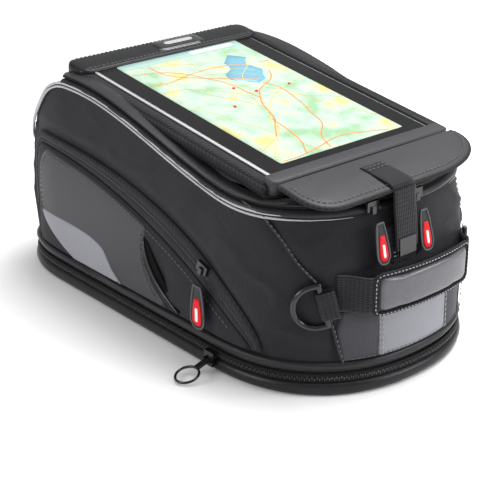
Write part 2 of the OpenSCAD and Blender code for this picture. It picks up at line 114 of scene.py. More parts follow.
def end_pt(x, z, out=0.0):
    """A point of the wall at the rider end, moved outwards."""
    w = HALF_W - inset(z, 1) + out
    depth = REAR - inset(z, 2) + out
    u = min(1.0, abs(x) / w)
    return Vector((x, -HALF_L + REAR - depth * (1 - u ** REAR_POW) ** (1 / REAR_POW), z))


def tilted(x, a, w):
    """A point in the frame of the tablet's face: across, along, above."""
    c, s = math.cos(TILT), math.sin(TILT)
    return Vector((x, FACE_Y + a * c - w * s, FACE_Z + a * s + w * c))


def lid_top(y):
    return max(top_z(y) + 7, 164)


def plan_pt(col, side_in, rear_in, front_in, z):
    """A point of the outline. col is (part, angle or share): Front, Left, Rider end or right Side."""
    part, t = col
    w = HALF_W - side_in
    if part in "FR":
        power = FRONT_POW if part == "F" else REAR_POW
        c, s = math.cos(math.radians(t)), math.sin(math.radians(t))
        x = w * math.copysign(abs(c) ** (2 / power), c)
        if part == "F":
            return Vector((x, HALF_L - FRONT + (FRONT - front_in) * abs(s) ** (2 / power), z))
        return Vector((x, -HALF_L + REAR - (REAR - rear_in) * abs(s) ** (2 / power), z))
    y1, y0 = HALF_L - FRONT, -HALF_L + REAR
    if part == "L":
        return Vector((-w, y1 + (y0 - y1) * t, z))
    return Vector((w, y0 + (y1 - y0) * t, z))


def columns(spacing):
    """Evenly spaced places round the outline: (place, arc length), from the front middle leftwards."""
    n = 600
    cols = [("F", 90 + 90 * k / n) for k in range(n)]
    cols += [("L", k / n) for k in range(n)]
    cols += [("R", 180 + 180 * k / (2 * n)) for k in range(2 * n)]
    cols += [("S", k / n) for k in range(n)]
    cols += [("F", 90 * k / n) for k in range(n)]
    pts = [plan_pt(c, 5, 5, 5, 0) for c in cols]
    lengths = [0.0]
    for k in range(1, len(pts)):
        lengths.append(lengths[-1] + (pts[k] - pts[k - 1]).length)
    total = lengths[-1] + (pts[0] - pts[-1]).length
    count = int(round(total / spacing))
    out, j = [], 0
    for i in range(count):
        want = i * total / count
        while j + 1 < len(lengths) and lengths[j + 1] < want:
            j += 1
        out.append((cols[j], want))
    return out


def ring_pt(col, z, out=0.0):
    """A point of the bag's wall at a place of columns(), moved outwards."""
    return plan_pt(col, inset(z, 1) - out, inset(z, 2) - out, inset(z, 3) - out, z)


# ---------------------------------------------------------------- materials
def ramp(nodes, links, source, stops):
    """Colour ramp over a value; returns its colour output."""
    r = nodes.new("ShaderNodeValToRGB")
    els = r.color_ramp.elements
    while len(els) < len(stops):
        els.new(0.5)
    for e, (pos, col) in zip(els, stops):
        e.position = pos
        e.color = (*col, 1) if len(col) == 3 else col
    links.new(source, r.inputs[0])
    return r.outputs[0]


def material(name, color, rough=0.6, vary=0.25, pattern="fabric", scale=900.0, bump=0.25,
             sheen=0.0, metallic=0.0, coat=0.0, specular=None, wear=0.0):
    """A node material: base colour varied by noise, a fine pattern in bump and roughness, wear patches."""
    m = bpy.data.materials.new(name)
    m.use_nodes = True
    nodes, links = m.node_tree.nodes, m.node_tree.links
    bsdf = nodes["Principled BSDF"]
    bsdf.inputs["Metallic"].default_value = metallic
    bsdf.inputs["Sheen Weight"].default_value = sheen
    bsdf.inputs["Sheen Roughness"].default_value = 0.45
    bsdf.inputs["Coat Weight"].default_value = coat
    bsdf.inputs["Coat Roughness"].default_value = 0.12
    gloss = {"fabric": 0.12, "twill": 0.12, "webbing": 0.12, "leather": 0.24}.get(pattern, 0.35)
    bsdf.inputs["Specular IOR Level"].default_value = gloss if specular is None else specular
    place = nodes.new("ShaderNodeTexCoord")
    obj, uv = place.outputs["Object"], place.outputs["UV"]

    def tex(kind, **inputs):
        t = nodes.new(kind)
        for k, v in inputs.items():
            if k.startswith("p_"):
                setattr(t, k[2:], v)
            else:
                t.inputs[k.replace("_", " ")].default_value = v
        return t

    def mapped(source, size):
        mp = nodes.new("ShaderNodeMapping")
        mp.inputs["Scale"].default_value = (size, size, size)
        links.new(source, mp.inputs["Vector"])
        return mp.outputs["Vector"]

    def wave(direction, source, waves=1.0):
        t = tex("ShaderNodeTexWave", Scale=waves, p_wave_type="BANDS", p_bands_direction=direction)
        links.new(source, t.inputs["Vector"])
        return t.outputs["Fac"]

    def math_node(op, a, b):
        n = nodes.new("ShaderNodeMath")
        n.operation = op
        for i, v in enumerate((a, b)):
            if isinstance(v, (int, float)):
                n.inputs[i].default_value = v
            else:
                links.new(v, n.inputs[i])
        return n.outputs[0]

    broad = tex("ShaderNodeTexNoise", Scale=14.0, Detail=4.0, Roughness=0.6)
    links.new(obj, broad.inputs["Vector"])
    fine = tex("ShaderNodeTexNoise", Scale=scale, Detail=2.0, Roughness=0.6)
    links.new(obj, fine.inputs["Vector"])
    height = fine.outputs["Fac"]
    if pattern == "fabric":
        x, y, z = (wave(axis, obj, scale * 0.31) for axis in "XYZ")
        cross = math_node("MULTIPLY", math_node("ADD", x, y), z)
        height = math_node("ADD", math_node("MULTIPLY", cross, 0.5), math_node("MULTIPLY", height, 0.7))
    elif pattern == "leather":
        v = tex("ShaderNodeTexVoronoi", Scale=scale * 0.5, p_feature="DISTANCE_TO_EDGE")
        links.new(obj, v.inputs["Vector"])
        height = math_node("ADD", math_node("MULTIPLY", v.outputs["Distance"], 1.2),
                           math_node("MULTIPLY", height, 0.5))
    elif pattern in ("webbing", "twill", "ribs"):
        if pattern == "webbing":
            ribs, weft = wave("X", mapped(uv, 16)), wave("Y", mapped(uv, 9))
            band = math_node("MULTIPLY", ribs, math_node("ADD", weft, 0.6))
        elif pattern == "twill":
            band = wave("DIAGONAL", mapped(uv, 14))
        else:
            band = wave("Y", mapped(obj, 60))
        height = math_node("ADD", math_node("MULTIPLY", band, 0.8), math_node("MULTIPLY", height, 0.35))
    dark = tuple(c * (1 - vary) for c in color)
    light = tuple(min(1.0, c * (1 + vary) + 0.004) for c in color)
    tone = math_node("ADD", math_node("MULTIPLY", broad.outputs["Fac"], 0.65),
                     math_node("MULTIPLY", height, 0.35))
    col = ramp(nodes, links, tone, [(0.3, dark), (0.52, color), (0.78, light)])
    if wear > 0:
        scuff = tex("ShaderNodeTexNoise", Scale=55.0, Detail=6.0, Roughness=0.75)
        links.new(obj, scuff.inputs["Vector"])
        mask = ramp(nodes, links, scuff.outputs["Fac"], [(0.58, (0, 0, 0)), (0.75, (wear, wear, wear))])
        mix = nodes.new("ShaderNodeMix")
        mix.data_type = "RGBA"
        links.new(mask, mix.inputs[0])
        links.new(col, mix.inputs[6])
        mix.inputs[7].default_value = (*[min(1, c * 2.2 + 0.03) for c in color], 1)
        col = mix.outputs[2]
    links.new(col, bsdf.inputs["Base Color"])
    links.new(ramp(nodes, links, tone, [(0.25, (rough * 0.82,) * 3), (0.8, (min(1, rough * 1.18),) * 3)]),
              bsdf.inputs["Roughness"])
    b = nodes.new("ShaderNodeBump")
    b.inputs["Strength"].default_value = bump
    b.inputs["Distance"].default_value = 0.0004
    links.new(height, b.inputs["Height"])
    links.new(b.outputs[0], bsdf.inputs["Normal"])
    return m


M = {
    "body": material("body_fabric", (0.016, 0.0158, 0.0185), 0.6, 0.35, "fabric", 900, 0.5, sheen=0.05),
    "roll": material("roll_fabric", (0.018, 0.018, 0.020), 0.4, 0.3, "leather", 700, 0.3, sheen=0.03),
    "rim": material("rim_vinyl", (0.013, 0.013, 0.015), 0.36, 0.3, "leather", 800, 0.3, wear=0.12),
    "grip": material("grip_rubber", (0.02, 0.02, 0.021), 0.8, 0.25, "ribs", 500, 0.8),
    "plastic": material("moulded_plastic", (0.018, 0.018, 0.019), 0.38, 0.2, "grain", 1200, 0.15, wear=0.1),
    "latch": material("latch_plastic", (0.42, 0.03, 0.025), 0.4, 0.2, "grain", 1200, 0.15, wear=0.3),
    "steel": material("spring_steel", (0.55, 0.55, 0.57), 0.28, 0.2, "grain", 1500, 0.1, metallic=1.0),
    "board": material("board_plastic", (0.05, 0.05, 0.052), 0.6, 0.2, "grain", 500, 0.3),
    "zip": material("zip_tape", (0.010, 0.010, 0.011), 0.7, 0.3, "twill", 900, 0.5, sheen=0.03),
    "zipgrey": material("side_zip_tape", (0.018, 0.018, 0.021), 0.62, 0.35, "twill", 900, 0.7, sheen=0.05),
    "coil": material("zip_coil", (0.04, 0.04, 0.043), 0.33, 0.25, "grain", 1500, 0.1, specular=0.6),
    "piping": material("reflective_piping", (0.38, 0.38, 0.40), 0.42, 0.25, "grain", 1500, 0.2, sheen=0.1),
    "webbing": material("ribbed_webbing", (0.018, 0.018, 0.020), 0.62, 0.5, "webbing", 900, 1.0, sheen=0.08),
    "enamel": material("black_enamel", (0.008, 0.008, 0.009), 0.25, 0.25, "grain", 900, 0.08, coat=0.3,
        wear=0.08),
    "moulded": material("moulded_leather", (0.040, 0.040, 0.0445), 0.42, 0.16, "leather", 1500, 0.16,
        wear=0.05),
    "patch": material("reflective_leather", (0.24, 0.24, 0.268), 0.5, 0.12, "leather", 1500, 0.14, wear=0.05),
    "pad": material("pad_leather", (0.105, 0.105, 0.118), 0.3, 0.2, "leather", 1300, 0.2, coat=0.25,
        wear=0.05),
    "sidepatch": material("end_patch_fabric", (0.055, 0.055, 0.062), 0.6, 0.2, "fabric", 1100, 0.4,
        sheen=0.06),
    "gloss": material("gloss_lip", (0.004, 0.004, 0.005), 0.12, 0.25, "grain", 600, 0.05, coat=0.6),
    # painted shadow: near-black rough cloth laid behind the slot lip to darken the recess
    "shade": material("painted_slot_shadow", (0.0025, 0.0025, 0.003), 0.8, 0.3, "fabric", 900, 0.3, specular=0.1),
    "holder": material("flap_leather", (0.040, 0.040, 0.044), 0.42, 0.14, "leather", 1100, 0.24, wear=0.05),
    "frame": material("frame_leather", (0.007, 0.0075, 0.0085), 0.36, 0.25, "leather", 1100, 0.3, wear=0.06),
    "binding": material("ribbed_binding", (0.014, 0.014, 0.016), 0.6, 0.4, "twill", 1000, 0.9, sheen=0.05),
    "shell": material("tablet_shell", (0.62, 0.63, 0.65), 0.3, 0.08, "grain", 2000, 0.05, metallic=0.9),
    "glass": material("tablet_face", (0.004, 0.004, 0.005), 0.2, 0.2, "grain", 200, 0.005, specular=0.18),
    "pull": material("pull_rubber", (0.012, 0.012, 0.014), 0.5, 0.25, "grain", 900, 0.25),
    "pullrim": material("pull_binding", (0.10, 0.10, 0.105), 0.5, 0.25, "fabric", 1500, 0.4),
    "red": material("pull_label_red", (0.62, 0.012, 0.018), 0.42, 0.12, "fabric", 1500, 0.25),
    "white": material("pull_label_white", (0.8, 0.8, 0.8), 0.5, 0.06, "fabric", 1500, 0.2),
    "thread": material("thread_grey", (0.10, 0.10, 0.105), 0.55, 0.3, "grain", 2500, 0.4, sheen=0.1),
    "threadlight": material("thread_light", (0.36, 0.36, 0.38), 0.5, 0.25, "grain", 2500, 0.4, sheen=0.1),
    "lining": material("lining_cloth", (0.05, 0.05, 0.053), 0.75, 0.25, "fabric", 1300, 0.35, sheen=0.1),
    "silver": material("silver_edge", (0.7, 0.7, 0.72), 0.3, 0.15, "grain", 1500, 0.1, metallic=0.4),
}


# ---------------------------------------------------------------- mesh building
def make(name, verts, faces, mat, body, uvs=None, weld=False, shade=True):
    """A mesh object from points in mm, riding the body if one is named."""
    mesh = bpy.data.meshes.new(name)
    mesh.from_pydata([(v[0] * MM, v[1] * MM, v[2] * MM) for v in verts], [], faces)
    if uvs is not None:
        layer = mesh.uv_layers.new(name="UVMap")
        for loop in mesh.loops:
            u = uvs[loop.vertex_index]
            layer.data[loop.index].uv = (u[0] * UV_MM, u[1] * UV_MM)
    bm = bmesh.new()
    bm.from_mesh(mesh)
    if weld:
        bmesh.ops.remove_doubles(bm, verts=bm.verts, dist=0.00002)
    bmesh.ops.recalc_face_normals(bm, faces=bm.faces)
    bm.to_mesh(mesh)
    bm.free()
    if shade:
        mesh.polygons.foreach_set("use_smooth", [True] * len(mesh.polygons))
    mesh.materials.append(M[mat])
    obj = bpy.data.objects.new(name, mesh)
    bpy.context.scene.collection.objects.link(obj)
    if body:
        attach(obj, body)
    return obj


def grid(name, rows, mat, body, close_u=False, close_v=False, uvs=None, **kw):
    """Rows of points joined into quads. close_u joins each row's ends, close_v the last row to the first."""
    n, m = len(rows[0]), len(rows)
    verts = [p for r in rows for p in r]
    faces = []
    for i in range(m if close_v else m - 1):
        for j in range(n if close_u else n - 1):
            a, b = i * n + j, i * n + (j + 1) % n
            c, d = ((i + 1) % m) * n + (j + 1) % n, ((i + 1) % m) * n + j
            faces.append((a, b, c, d))
    flat = [u for r in uvs for u in r] if uvs is not None else None
    return make(name, verts, faces, mat, body, uvs=flat, **kw)


def along(path):
    """Length along a path at each of its points."""
    s = [0.0]
    for a, b in zip(path, path[1:]):
        s.append(s[-1] + (Vector(b) - Vector(a)).length)
    return s


def resample(path, step, closed=False):
    """Evenly spaced points along a path."""
    pts = [Vector(p) for p in path]
    if closed:
        pts.append(pts[0])
    s = along(pts)
    n = max(2, int(round(s[-1] / step)))
    out, j = [], 0
    for i in range(n if closed else n + 1):
        want = s[-1] * i / n
        while j + 2 < len(s) and s[j + 1] < want:
            j += 1
        span = s[j + 1] - s[j] or 1
        out.append(pts[j].lerp(pts[j + 1], min(1, max(0, (want - s[j]) / span))))
    return out


def loop2(outline, step):
    """A closed outline in the plane, evenly spaced."""
    return [Vector((p[0], p[1])) for p in resample([(q[0], q[1], 0) for q in outline], step, closed=True)]


def inset_outline(pts, d):
    """A closed outline moved inwards by d."""
    n = len(pts)
    area = sum(pts[i][0] * pts[(i + 1) % n][1] - pts[(i + 1) % n][0] * pts[i][1] for i in range(n))
    sign = 1 if area > 0 else -1
    out = []
    for i in range(n):
        a, b = Vector(pts[i - 1][:2]), Vector(pts[(i + 1) % n][:2])
        t = (b - a).normalized()
        out.append(Vector((pts[i][0] - sign * t[1] * d, pts[i][1] + sign * t[0] * d)))
    return out


def edge_distance(points, outline):
    """Distance of each point from the outline, and whether it is inside."""
    p = np.array([q[:2] for q in points], float)
    o = np.array([q[:2] for q in outline], float)
    e = np.roll(o, -1, axis=0)
    best = np.full(len(p), 1e9)
    inside = np.zeros(len(p), bool)
    for a, b in zip(o, e):
        ab = b - a
        t = np.clip(((p - a) @ ab) / max(1e-9, ab @ ab), 0, 1)
        best = np.minimum(best, np.linalg.norm(p - (a + t[:, None] * ab), axis=1))
        cond = (a[1] > p[:, 1]) != (b[1] > p[:, 1])
        with np.errstate(divide="ignore", invalid="ignore"):
            cut = (b[0] - a[0]) * (p[:, 1] - a[1]) / (b[1] - a[1]) + a[0]
        inside ^= cond & (p[:, 0] < cut)
    return best, inside


def crown(rise, reach):
    """A height for slab() that rises from the edge and levels off."""
    return lambda u, v, d: rise * (1 - math.exp(-d / reach))


def slab(name, outline, profile, to3, mat, body, fill=4.0, step=3.0, height=None, back=True):
    """A soft plate: the outline runs through the profile's (inset, height) pairs, then a filled top.
    to3 turns (u, v, height) into a point. height(u, v, distance from edge) adds to the top."""
    base = loop2(outline, step)
    verts, uvs, faces = [], [], []
    n = len(base)
    rings = [inset_outline(base, d) for d, _ in profile]
    for ring, (d, h) in zip(rings, profile):
        for p in ring:
            verts.append(to3(p[0], p[1], h))
            uvs.append((p[0], p[1]))
    for k in range(len(rings) - 1):
        for i in range(n):
            j = (i + 1) % n
            faces.append((k * n + i, k * n + j, (k + 1) * n + j, (k + 1) * n + i))
    top = rings[-1]
    h_top = profile[-1][1]
    us, vs = [p[0] for p in top], [p[1] for p in top]
    cand, row = [], 0
    v = min(vs) + fill / 2
    while v < max(vs):
        u = min(us) + (fill / 2 if row % 2 else 0)
        while u < max(us):
            cand.append((u, v))
            u += fill
        v += fill * 0.866
        row += 1
    if cand:
        dist, ins = edge_distance(cand, top)
        cand = [c for c, d, i in zip(cand, dist, ins) if i and d > fill * 0.45]
    pts = [Vector((p[0], p[1])) for p in top] + [Vector(c) for c in cand]
    out_v, _, out_f, *_ = delaunay_2d_cdt(pts, [], [list(range(n))], 1, 1e-5)
    dist, _ = edge_distance(out_v, top)
    start = len(verts)
    for p, d in zip(out_v, dist):
        extra = height(p[0], p[1], float(d)) if height else 0.0
        verts.append(to3(p[0], p[1], h_top + (extra if d > 1e-3 else 0)))
        uvs.append((p[0], p[1]))
    faces += [tuple(start + i for i in f) for f in out_f]
    if back:
        start = len(verts)
        low = rings[0]
        out_v, _, out_f, *_ = delaunay_2d_cdt([Vector((p[0], p[1])) for p in low], [],
                                              [list(range(n))], 1, 1e-5)
        for p in out_v:
            verts.append(to3(p[0], p[1], profile[0][1]))
            uvs.append((p[0], p[1]))
        faces += [tuple(reversed([start + i for i in f])) for f in out_f]
    return make(name, verts, faces, mat, body, uvs=uvs, weld=True)


def rounded(x0, x1, y0, y1, r, seg=6):
    """Outline of a rectangle with rounded corners."""
    pts = []
    for cx, cy, a0 in ((x1 - r, y1 - r, 0), (x0 + r, y1 - r, 90),
                       (x0 + r, y0 + r, 180), (x1 - r, y0 + r, 270)):
        for k in range(seg + 1):
            a = math.radians(a0 + 90 * k / seg)
            pts.append((cx + r * math.cos(a), cy + r * math.sin(a)))
    return pts


def tube(name, path, r, mat, body, sides=10, closed=False, flat=1.0):
    """A round or flattened rod along a path. r is a number or a function of the share of the path."""
    pts = [Vector(p) for p in path]
    n = len(pts)
    rows, uvs = [], []
    s = along(pts)
    for i, p in enumerate(pts):
        a = pts[i - 1] if (i > 0 or closed) else pts[0]
        b = pts[(i + 1) % n] if (i < n - 1 or closed) else pts[-1]
        d = (b - a).normalized()
        u = d.cross(Vector((0, 0, 1)))
        u = u.normalized() if u.length > 0.05 else Vector((1, 0, 0))
        v = u.cross(d).normalized()
        rad = r(i / max(1, n - 1)) if callable(r) else r
        turns = [k * math.tau / sides for k in range(sides)]
        rows.append([p + rad * (math.cos(q) * u + flat * math.sin(q) * v) for q in turns])
        uvs.append([(s[i], k * rad * 6.28 / sides) for k in range(sides)])
    if not closed:
        rows = [[pts[0]] * sides] + rows + [[pts[-1]] * sides]
        uvs = [uvs[0]] + uvs + [uvs[-1]]
    return grid(name, rows, mat, body, close_u=True, close_v=closed, uvs=uvs, weld=not closed)


def stitches(name, path, mat, body, length=2.8, gap=1.5, r=0.38):
    """A row of short raised threads along a path."""
    fine = 0.5
    pts = resample(path, fine)
    step = max(1, int(round((length + gap) / fine)))
    n_on = int(round(length / fine))
    verts, faces = [], []
    for k in range(0, len(pts) - n_on, step):
        a, b = pts[k], pts[k + n_on]
        d = (b - a).normalized()
        u = d.cross(Vector((0.3, 0.2, 1))).normalized()
        v = d.cross(u)
        base = len(verts)
        for t, rad in ((0, 0.35), (0.22, 1), (0.78, 1), (1, 0.35)):
            c = a.lerp(b, t)
            for j in range(5):
                q = j * math.tau / 5
                verts.append(c + r * rad * (math.cos(q) * u + math.sin(q) * v))
        for i in range(3):
            for j in range(5):
                m, low = (j + 1) % 5, base + i * 5
                faces.append((low + j, low + m, low + 5 + m, low + 5 + j))
        faces.append(tuple(base + j for j in range(5)))
        faces.append(tuple(base + 15 + j for j in reversed(range(5))))
    return make(name, verts, faces, mat, body)


def ring_sweep(name, profile, mat, body, spacing=4.0, wobble=0.0):
    """A closed profile of (inset, z) swept round the base outline."""
    rows, uvs = [], []
    for col, s in columns(spacing):
        row, uv = [], []
        for i, (d, z) in enumerate(profile):
            w = wobble * noise.noise(Vector((s * 0.03, i * 0.3, 2.5))) if wobble else 0.0
            row.append(plan_pt(col, d - w, d - w, d - w, z))
            uv.append((s, z * 2))
        rows.append(row)
        uvs.append(uv)
    return grid(name, rows, mat, body, close_u=True, close_v=True, uvs=uvs)


def round_profile(d0, d1, z0, z1, r, seg=4):
    """Closed (inset, z) profile of a bar with a rounded outer side."""
    pts = []
    for k in range(seg + 1):
        a = math.radians(90 * k / seg)
        pts.append((d0 + r - r * math.sin(a), z0 + r - r * math.cos(a)))
    for k in range(seg + 1):
        a = math.radians(90 * k / seg)
        pts.append((d0 + r - r * math.cos(a), z1 - r + r * math.sin(a)))
    return pts + [(d1, z1), (d1, z0)]


# ---------------------------------------------------------------- base
SOCKET_R = 68.2
rim_profile = [(7, 0.9), (4.5, 0.25), (2.4, 0.9), (0.9, 2.6), (0.1, 5.4), (0.3, 8.0), (1.5, 10.2),
               (3.6, 11.3), (7, 11.5), (7.2, 5.6)]
ring_sweep("base_rim", rim_profile, "rim", "base", spacing=4.0, wobble=0.5)
plate_cols = columns(5.0)
rows = []
for z in (5.5, 2.6):
    outer = [plan_pt(c, 7.05, 7.05, 7.05, z) for c, _ in plate_cols]
    inner = [(Vector((p[0], p[1])).normalized() * SOCKET_R).to_3d() + Vector((0, 0, z)) for p in outer]
    mid = [o.lerp(i, 0.5) for o, i in zip(outer, inner)]
    rows += [outer, mid, inner] if z > 4 else [inner, mid, outer]
base_plate = grid("base_plate", rows, "rim", "base", close_u=True, close_v=True)
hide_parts("base_pan")

grip = ring_sweep("grip_pad", [(7.3, 0.0), (60, 0.0), (60, 2.4), (7.3, 2.4)], "grip", "base", spacing=5)
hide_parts("anti_slip_pad")

# ---------------------------------------------------------------- expansion zip, hem and roll band
lower = ring_sweep("expansion_tape_lower", round_profile(2.6, 5.2, 11.5, 14.4, 0.8), "zip", "base")
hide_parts("expansion_zip_lower")
upper = ring_sweep("expansion_tape_upper", round_profile(2.6, 5.2, 15.6, 18.6, 0.8), "zip", "bag_body")
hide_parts("expansion_zip_upper")


def teeth(name, places, mat, body, long=1.5, wide=1.1, high=0.8):
    """Zip teeth. places holds (point, direction along the zip, direction across, outward direction)."""
    verts, faces = [], []
    for p, d, c, n in places:
        b = len(verts)
        for h, k in ((0, 1.0), (high, 0.55)):
            for su, sv in ((-1, -1), (1, -1), (1, 1), (-1, 1)):
                verts.append(p + d * (su * wide * 0.5 * k) + c * (sv * long * 0.5 * k) + n * h)
        faces += [(b + 4, b + 5, b + 6, b + 7)]
        faces += [(b + i, b + (i + 1) % 4, b + 4 + (i + 1) % 4, b + 4 + i) for i in range(4)]
    return make(name, verts, faces, mat, body, shade=False)


tooth_cols = columns(1.9)
TOOTH_IN = 2.4
for row, (label, body, z) in enumerate((("lower", "base", 14.5), ("upper", "bag_body", 15.5))):
    places = []
    for k, (col, _) in enumerate(tooth_cols):
        if k % 2 == row:
            p = plan_pt(col, TOOTH_IN, TOOTH_IN, TOOTH_IN, z)
            q = plan_pt(tooth_cols[(k + 1) % len(tooth_cols)][0], TOOTH_IN, TOOTH_IN, TOOTH_IN, z)
            d = (q - p).normalized()
            places.append((p, d, Vector((0, 0, 1)), Vector((d[1], -d[0], 0))))
    teeth("expansion_teeth_" + label, places, "coil", body, long=2.4)

fold = [(7.6, 11.7), (9.0, 13.5), (7.6, 15.4), (9.0, 17.3), (7.6, 19.2), (9.0, 21.2), (7.7, 24.0)]
gusset_profile = fold + [(d + 0.5, z) for d, z in reversed(fold)]
gusset = ring_sweep("folded_gusset", gusset_profile, "roll", None)
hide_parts("expansion_gusset")
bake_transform(gusset)

ring_sweep("hem", round_profile(5, 7.4, 18.6, 22.2, 1.4), "roll", "bag_body")
band = ring_sweep("roll_band_soft", round_profile(1.6, 7.4, 21.8, 28.6, 3.1, 6), "roll", "bag_body",
                  wobble=0.9)
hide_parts("roll_band")

# ---------------------------------------------------------------- padded shell
REAR_SEAM = [(-108, -128, 155), (-103, -144, 148), (-97, -158, 132), (-89, -171, 112),
             (-79, -183, 96), (-70, -193, 56), (-64, -197, 30)]
FOOT = 31.0                                    # foot of the side pocket
POCKET_Y, POCKET_LEN, TAPE_LEN = 133, 273, 281


def pocket_seam(y):
    """Height of the pocket's curved top seam."""
    u = (POCKET_Y - y) / POCKET_LEN
    return FOOT + max(0, 1 - u * u) ** 0.8 * (98 - 12 * u)


def zip_seam(y):
    """Height of the outer edge of the zip tape over the pocket."""
    u = max(0, (POCKET_Y - y) / TAPE_LEN)
    return FOOT + max(0, 1 - u ** 2.4) ** 0.62 * (108 - 8 * u)


seam_s = np.array([(abs(p[0]), p[2]) for p in REAR_SEAM])


def seam_dip(p):
    """Depth of the sewn corner seam at a point of the shell."""
    if p[1] > -110:
        return 0.0
    x = np.interp(p[2], seam_s[::-1, 1], seam_s[::-1, 0])
    return 2.2 * math.exp(-((abs(p[0]) - x) / 3.2) ** 2)


def crease(p):
    """Soft folds in the cloth, deeper at the corners of the rider end."""
    q = Vector((p[0] * 0.016, p[1] * 0.02, p[2] * 0.035))
    fold = 1 - abs(noise.noise(q + Vector((3.1, 0.7, 5.3)))) * 3.2
    soft = noise.noise(Vector((p[0] * 0.03, p[1] * 0.03, p[2] * 0.03)))
    corner = math.exp(-((p[1] + 165) / 50) ** 2) + 0.35
    return 1.5 * soft + 2.3 * corner * max(0.0, fold) ** 2


def roof_of(col):
    """Height where the wall meets the outline of the side view, by halving."""
    lo, hi = BAND_TOP, 196.0
    for _ in range(28):
        z = (lo + hi) / 2
        if z < front_z(ring_pt(col, z)[1]):
            lo = z
        else:
            hi = z
    return lo


shell_cols = columns(4.0)
rows = []
outer_rows, inner_rows = 44, 8
SHELL_T = 4.0
roofs = [roof_of(c) for c, _ in shell_cols]
for i in range(outer_rows + 1):
    t = i / outer_rows
    row = []
    for (col, _), top in zip(shell_cols, roofs):
        z = BAND_TOP + (top - BAND_TOP) * t
        p = ring_pt(col, z)
        edge = math.sin(math.pi * t) ** 0.5 if 0 < t < 1 else 0
        bulge = edge * (2.2 + crease(p)) - seam_dip(p)
        if abs(p[0]) > 90 and -152 < p[1] < 170:       # held down under the pocket and its tape
            bulge = -1.0 + (bulge + 1.0) * smooth((p[2] - zip_seam(p[1]) - 2) / 14)
        if abs(p[0]) < 73 and p[1] < -185:             # and under the end panel
            bulge *= smooth((p[2] - 70) / 14)
        row.append(ring_pt(col, z, bulge))
    rows.append(row)
for i in range(inner_rows + 1):
    t = 1 - i / inner_rows
    depth = SHELL_T if i else SHELL_T - 0.5
    rows.append([ring_pt(col, BAND_TOP + (top - BAND_TOP) * t, -depth)
                 for (col, _), top in zip(shell_cols, roofs)])
shell = grid("padded_shell", rows, "body", "bag_body", close_u=True,
             uvs=[[(s, i * 4) for _, s in shell_cols] for i in range(len(rows))])
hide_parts("main_shell")

for s, label in SIDES:
    line = resample([side_pt(s, p[1], p[2], 1.5) for p in REAR_SEAM], 4)
    tube("corner_seam_" + label, line, 1.3, "roll", "bag_body")
    beside = Vector((s * 0.6, -3.2, -0.6))
    stitches("stitch_corner_" + label, [p + beside for p in line], "thread", "bag_body", r=0.42)

# front slope: from just behind the hinge down to where the outline meets the base
y_end = 205.0
while y_end + inset(front_z(y_end), 3) < HALF_L:
    y_end += 0.02
ys = [y_end - (y_end - HINGE_Y + 2) * (1 - k / 34) ** 1.8 for k in range(35)]
rows = []
for y in ys:
    z = front_z(y)
    w = wall_x(y, z) + 0.3
    arch = math.sin(math.pi * min(1, (y - 118) / (y_end - 118))) ** 0.7
    fade = smooth((y - 124) / 26)
    row = []
    for k in range(41):
        across = k / 20 - 1
        ripple = 0.8 * noise.noise(Vector((k * 0.25, y * 0.03, 1)))
        row.append(Vector((w * across, y, z + 3.0 * (1 - across ** 4) * arch * fade + ripple)))
    rows.append(row)
nose = grid("front_panel_soft", rows, "body", "bag_body")


# ---------------------------------------------------------------- piping and top zip
def piping(side, label):
    """Two reflective cords below the top seam; the first stands for the CAD piping."""
    for k, (drop, out, thick) in enumerate(((1.2, 2.4, 1.3), (4.4, 2.6, 1.0))):
        pts = []
        for i in range(90):
            y = -176 + i * 384 / 89
            z = (REAR_H if y < -150 else front_z(y)) - drop
            pts.append(side_pt(side, y, z, out))
        for x in (70, 62, 54):
            pts.insert(0, Vector((side * x, end_pt(x, REAR_H - drop, out)[1], REAR_H - drop)))
        cord = tube("piping_%s_%d" % (label, k), pts,
                    lambda t, thick=thick: thick * min(1, 0.15 + t * 9), "piping", "bag_body")
        if k == 0:
            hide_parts("piping_" + label)


for side, label in SIDES:
    piping(side, label)


def rim_loft(name, body, mat, profile, y_max, step=5.0, wave=0.0, tuck=0.0):
    """A strip along the top seam, from the left front round the rider end to the right front.
    profile holds (height above the seam line, outward offset); tuck draws the front ends in."""
    cols = [c for c, _ in columns(step)]
    keep = [c for c in cols if ring_pt(c, 160)[1] < y_max]
    rows = []
    for c in keep:
        y0 = ring_pt(c, 160)[1]
        base = seam_z(y0) if y0 < CREST_Y else top_z(y0)
        share = (lid_top(y0) - base) / 7.0
        row = []
        for i, (h, out) in enumerate(profile):
            w = wave * noise.noise(Vector((c[1] * 0.05, y0 * 0.05, i)))
            end = tuck * smooth((y0 - 104) / 14)
            row.append(ring_pt(c, base + (h if h < 6 else 6 + (h - 6) * share), out + w - end))
        rows.append(row)
    uvs = [[(k * step, i * 3) for i in range(len(profile))] for k in range(len(rows))]
    return grid(name, rows, mat, body, uvs=uvs)


low = rim_loft("top_zip_lower", "bag_body", "roll",
               [(-3.5, 1.6), (-2.5, 3.0), (-0.8, 3.6), (1.0, 3.0), (2.4, 1.4), (2.6, -3.0)], 115, wave=0.5)
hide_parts("main_zip_lower")
up = rim_loft("top_zip_upper", "lid", "zip",
              [(3.2, -3.0), (3.2, 0.4), (4.6, 0.9), (6.2, 0.4), (6.2, -3.0)], 115)
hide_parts("main_zip_upper")
roll = rim_loft("lid_roll", "lid", "roll",
                [(5.6, -3), (5.4, 1.0), (5.9, 2.8), (6.4, 3.8), (6.9, 2.6), (7.0, 0.0), (6.9, -5.0),
                 (6.6, -11.0), (6.2, -11.4)], 121, wave=0.6, tuck=9.0)
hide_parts("lid_rim")

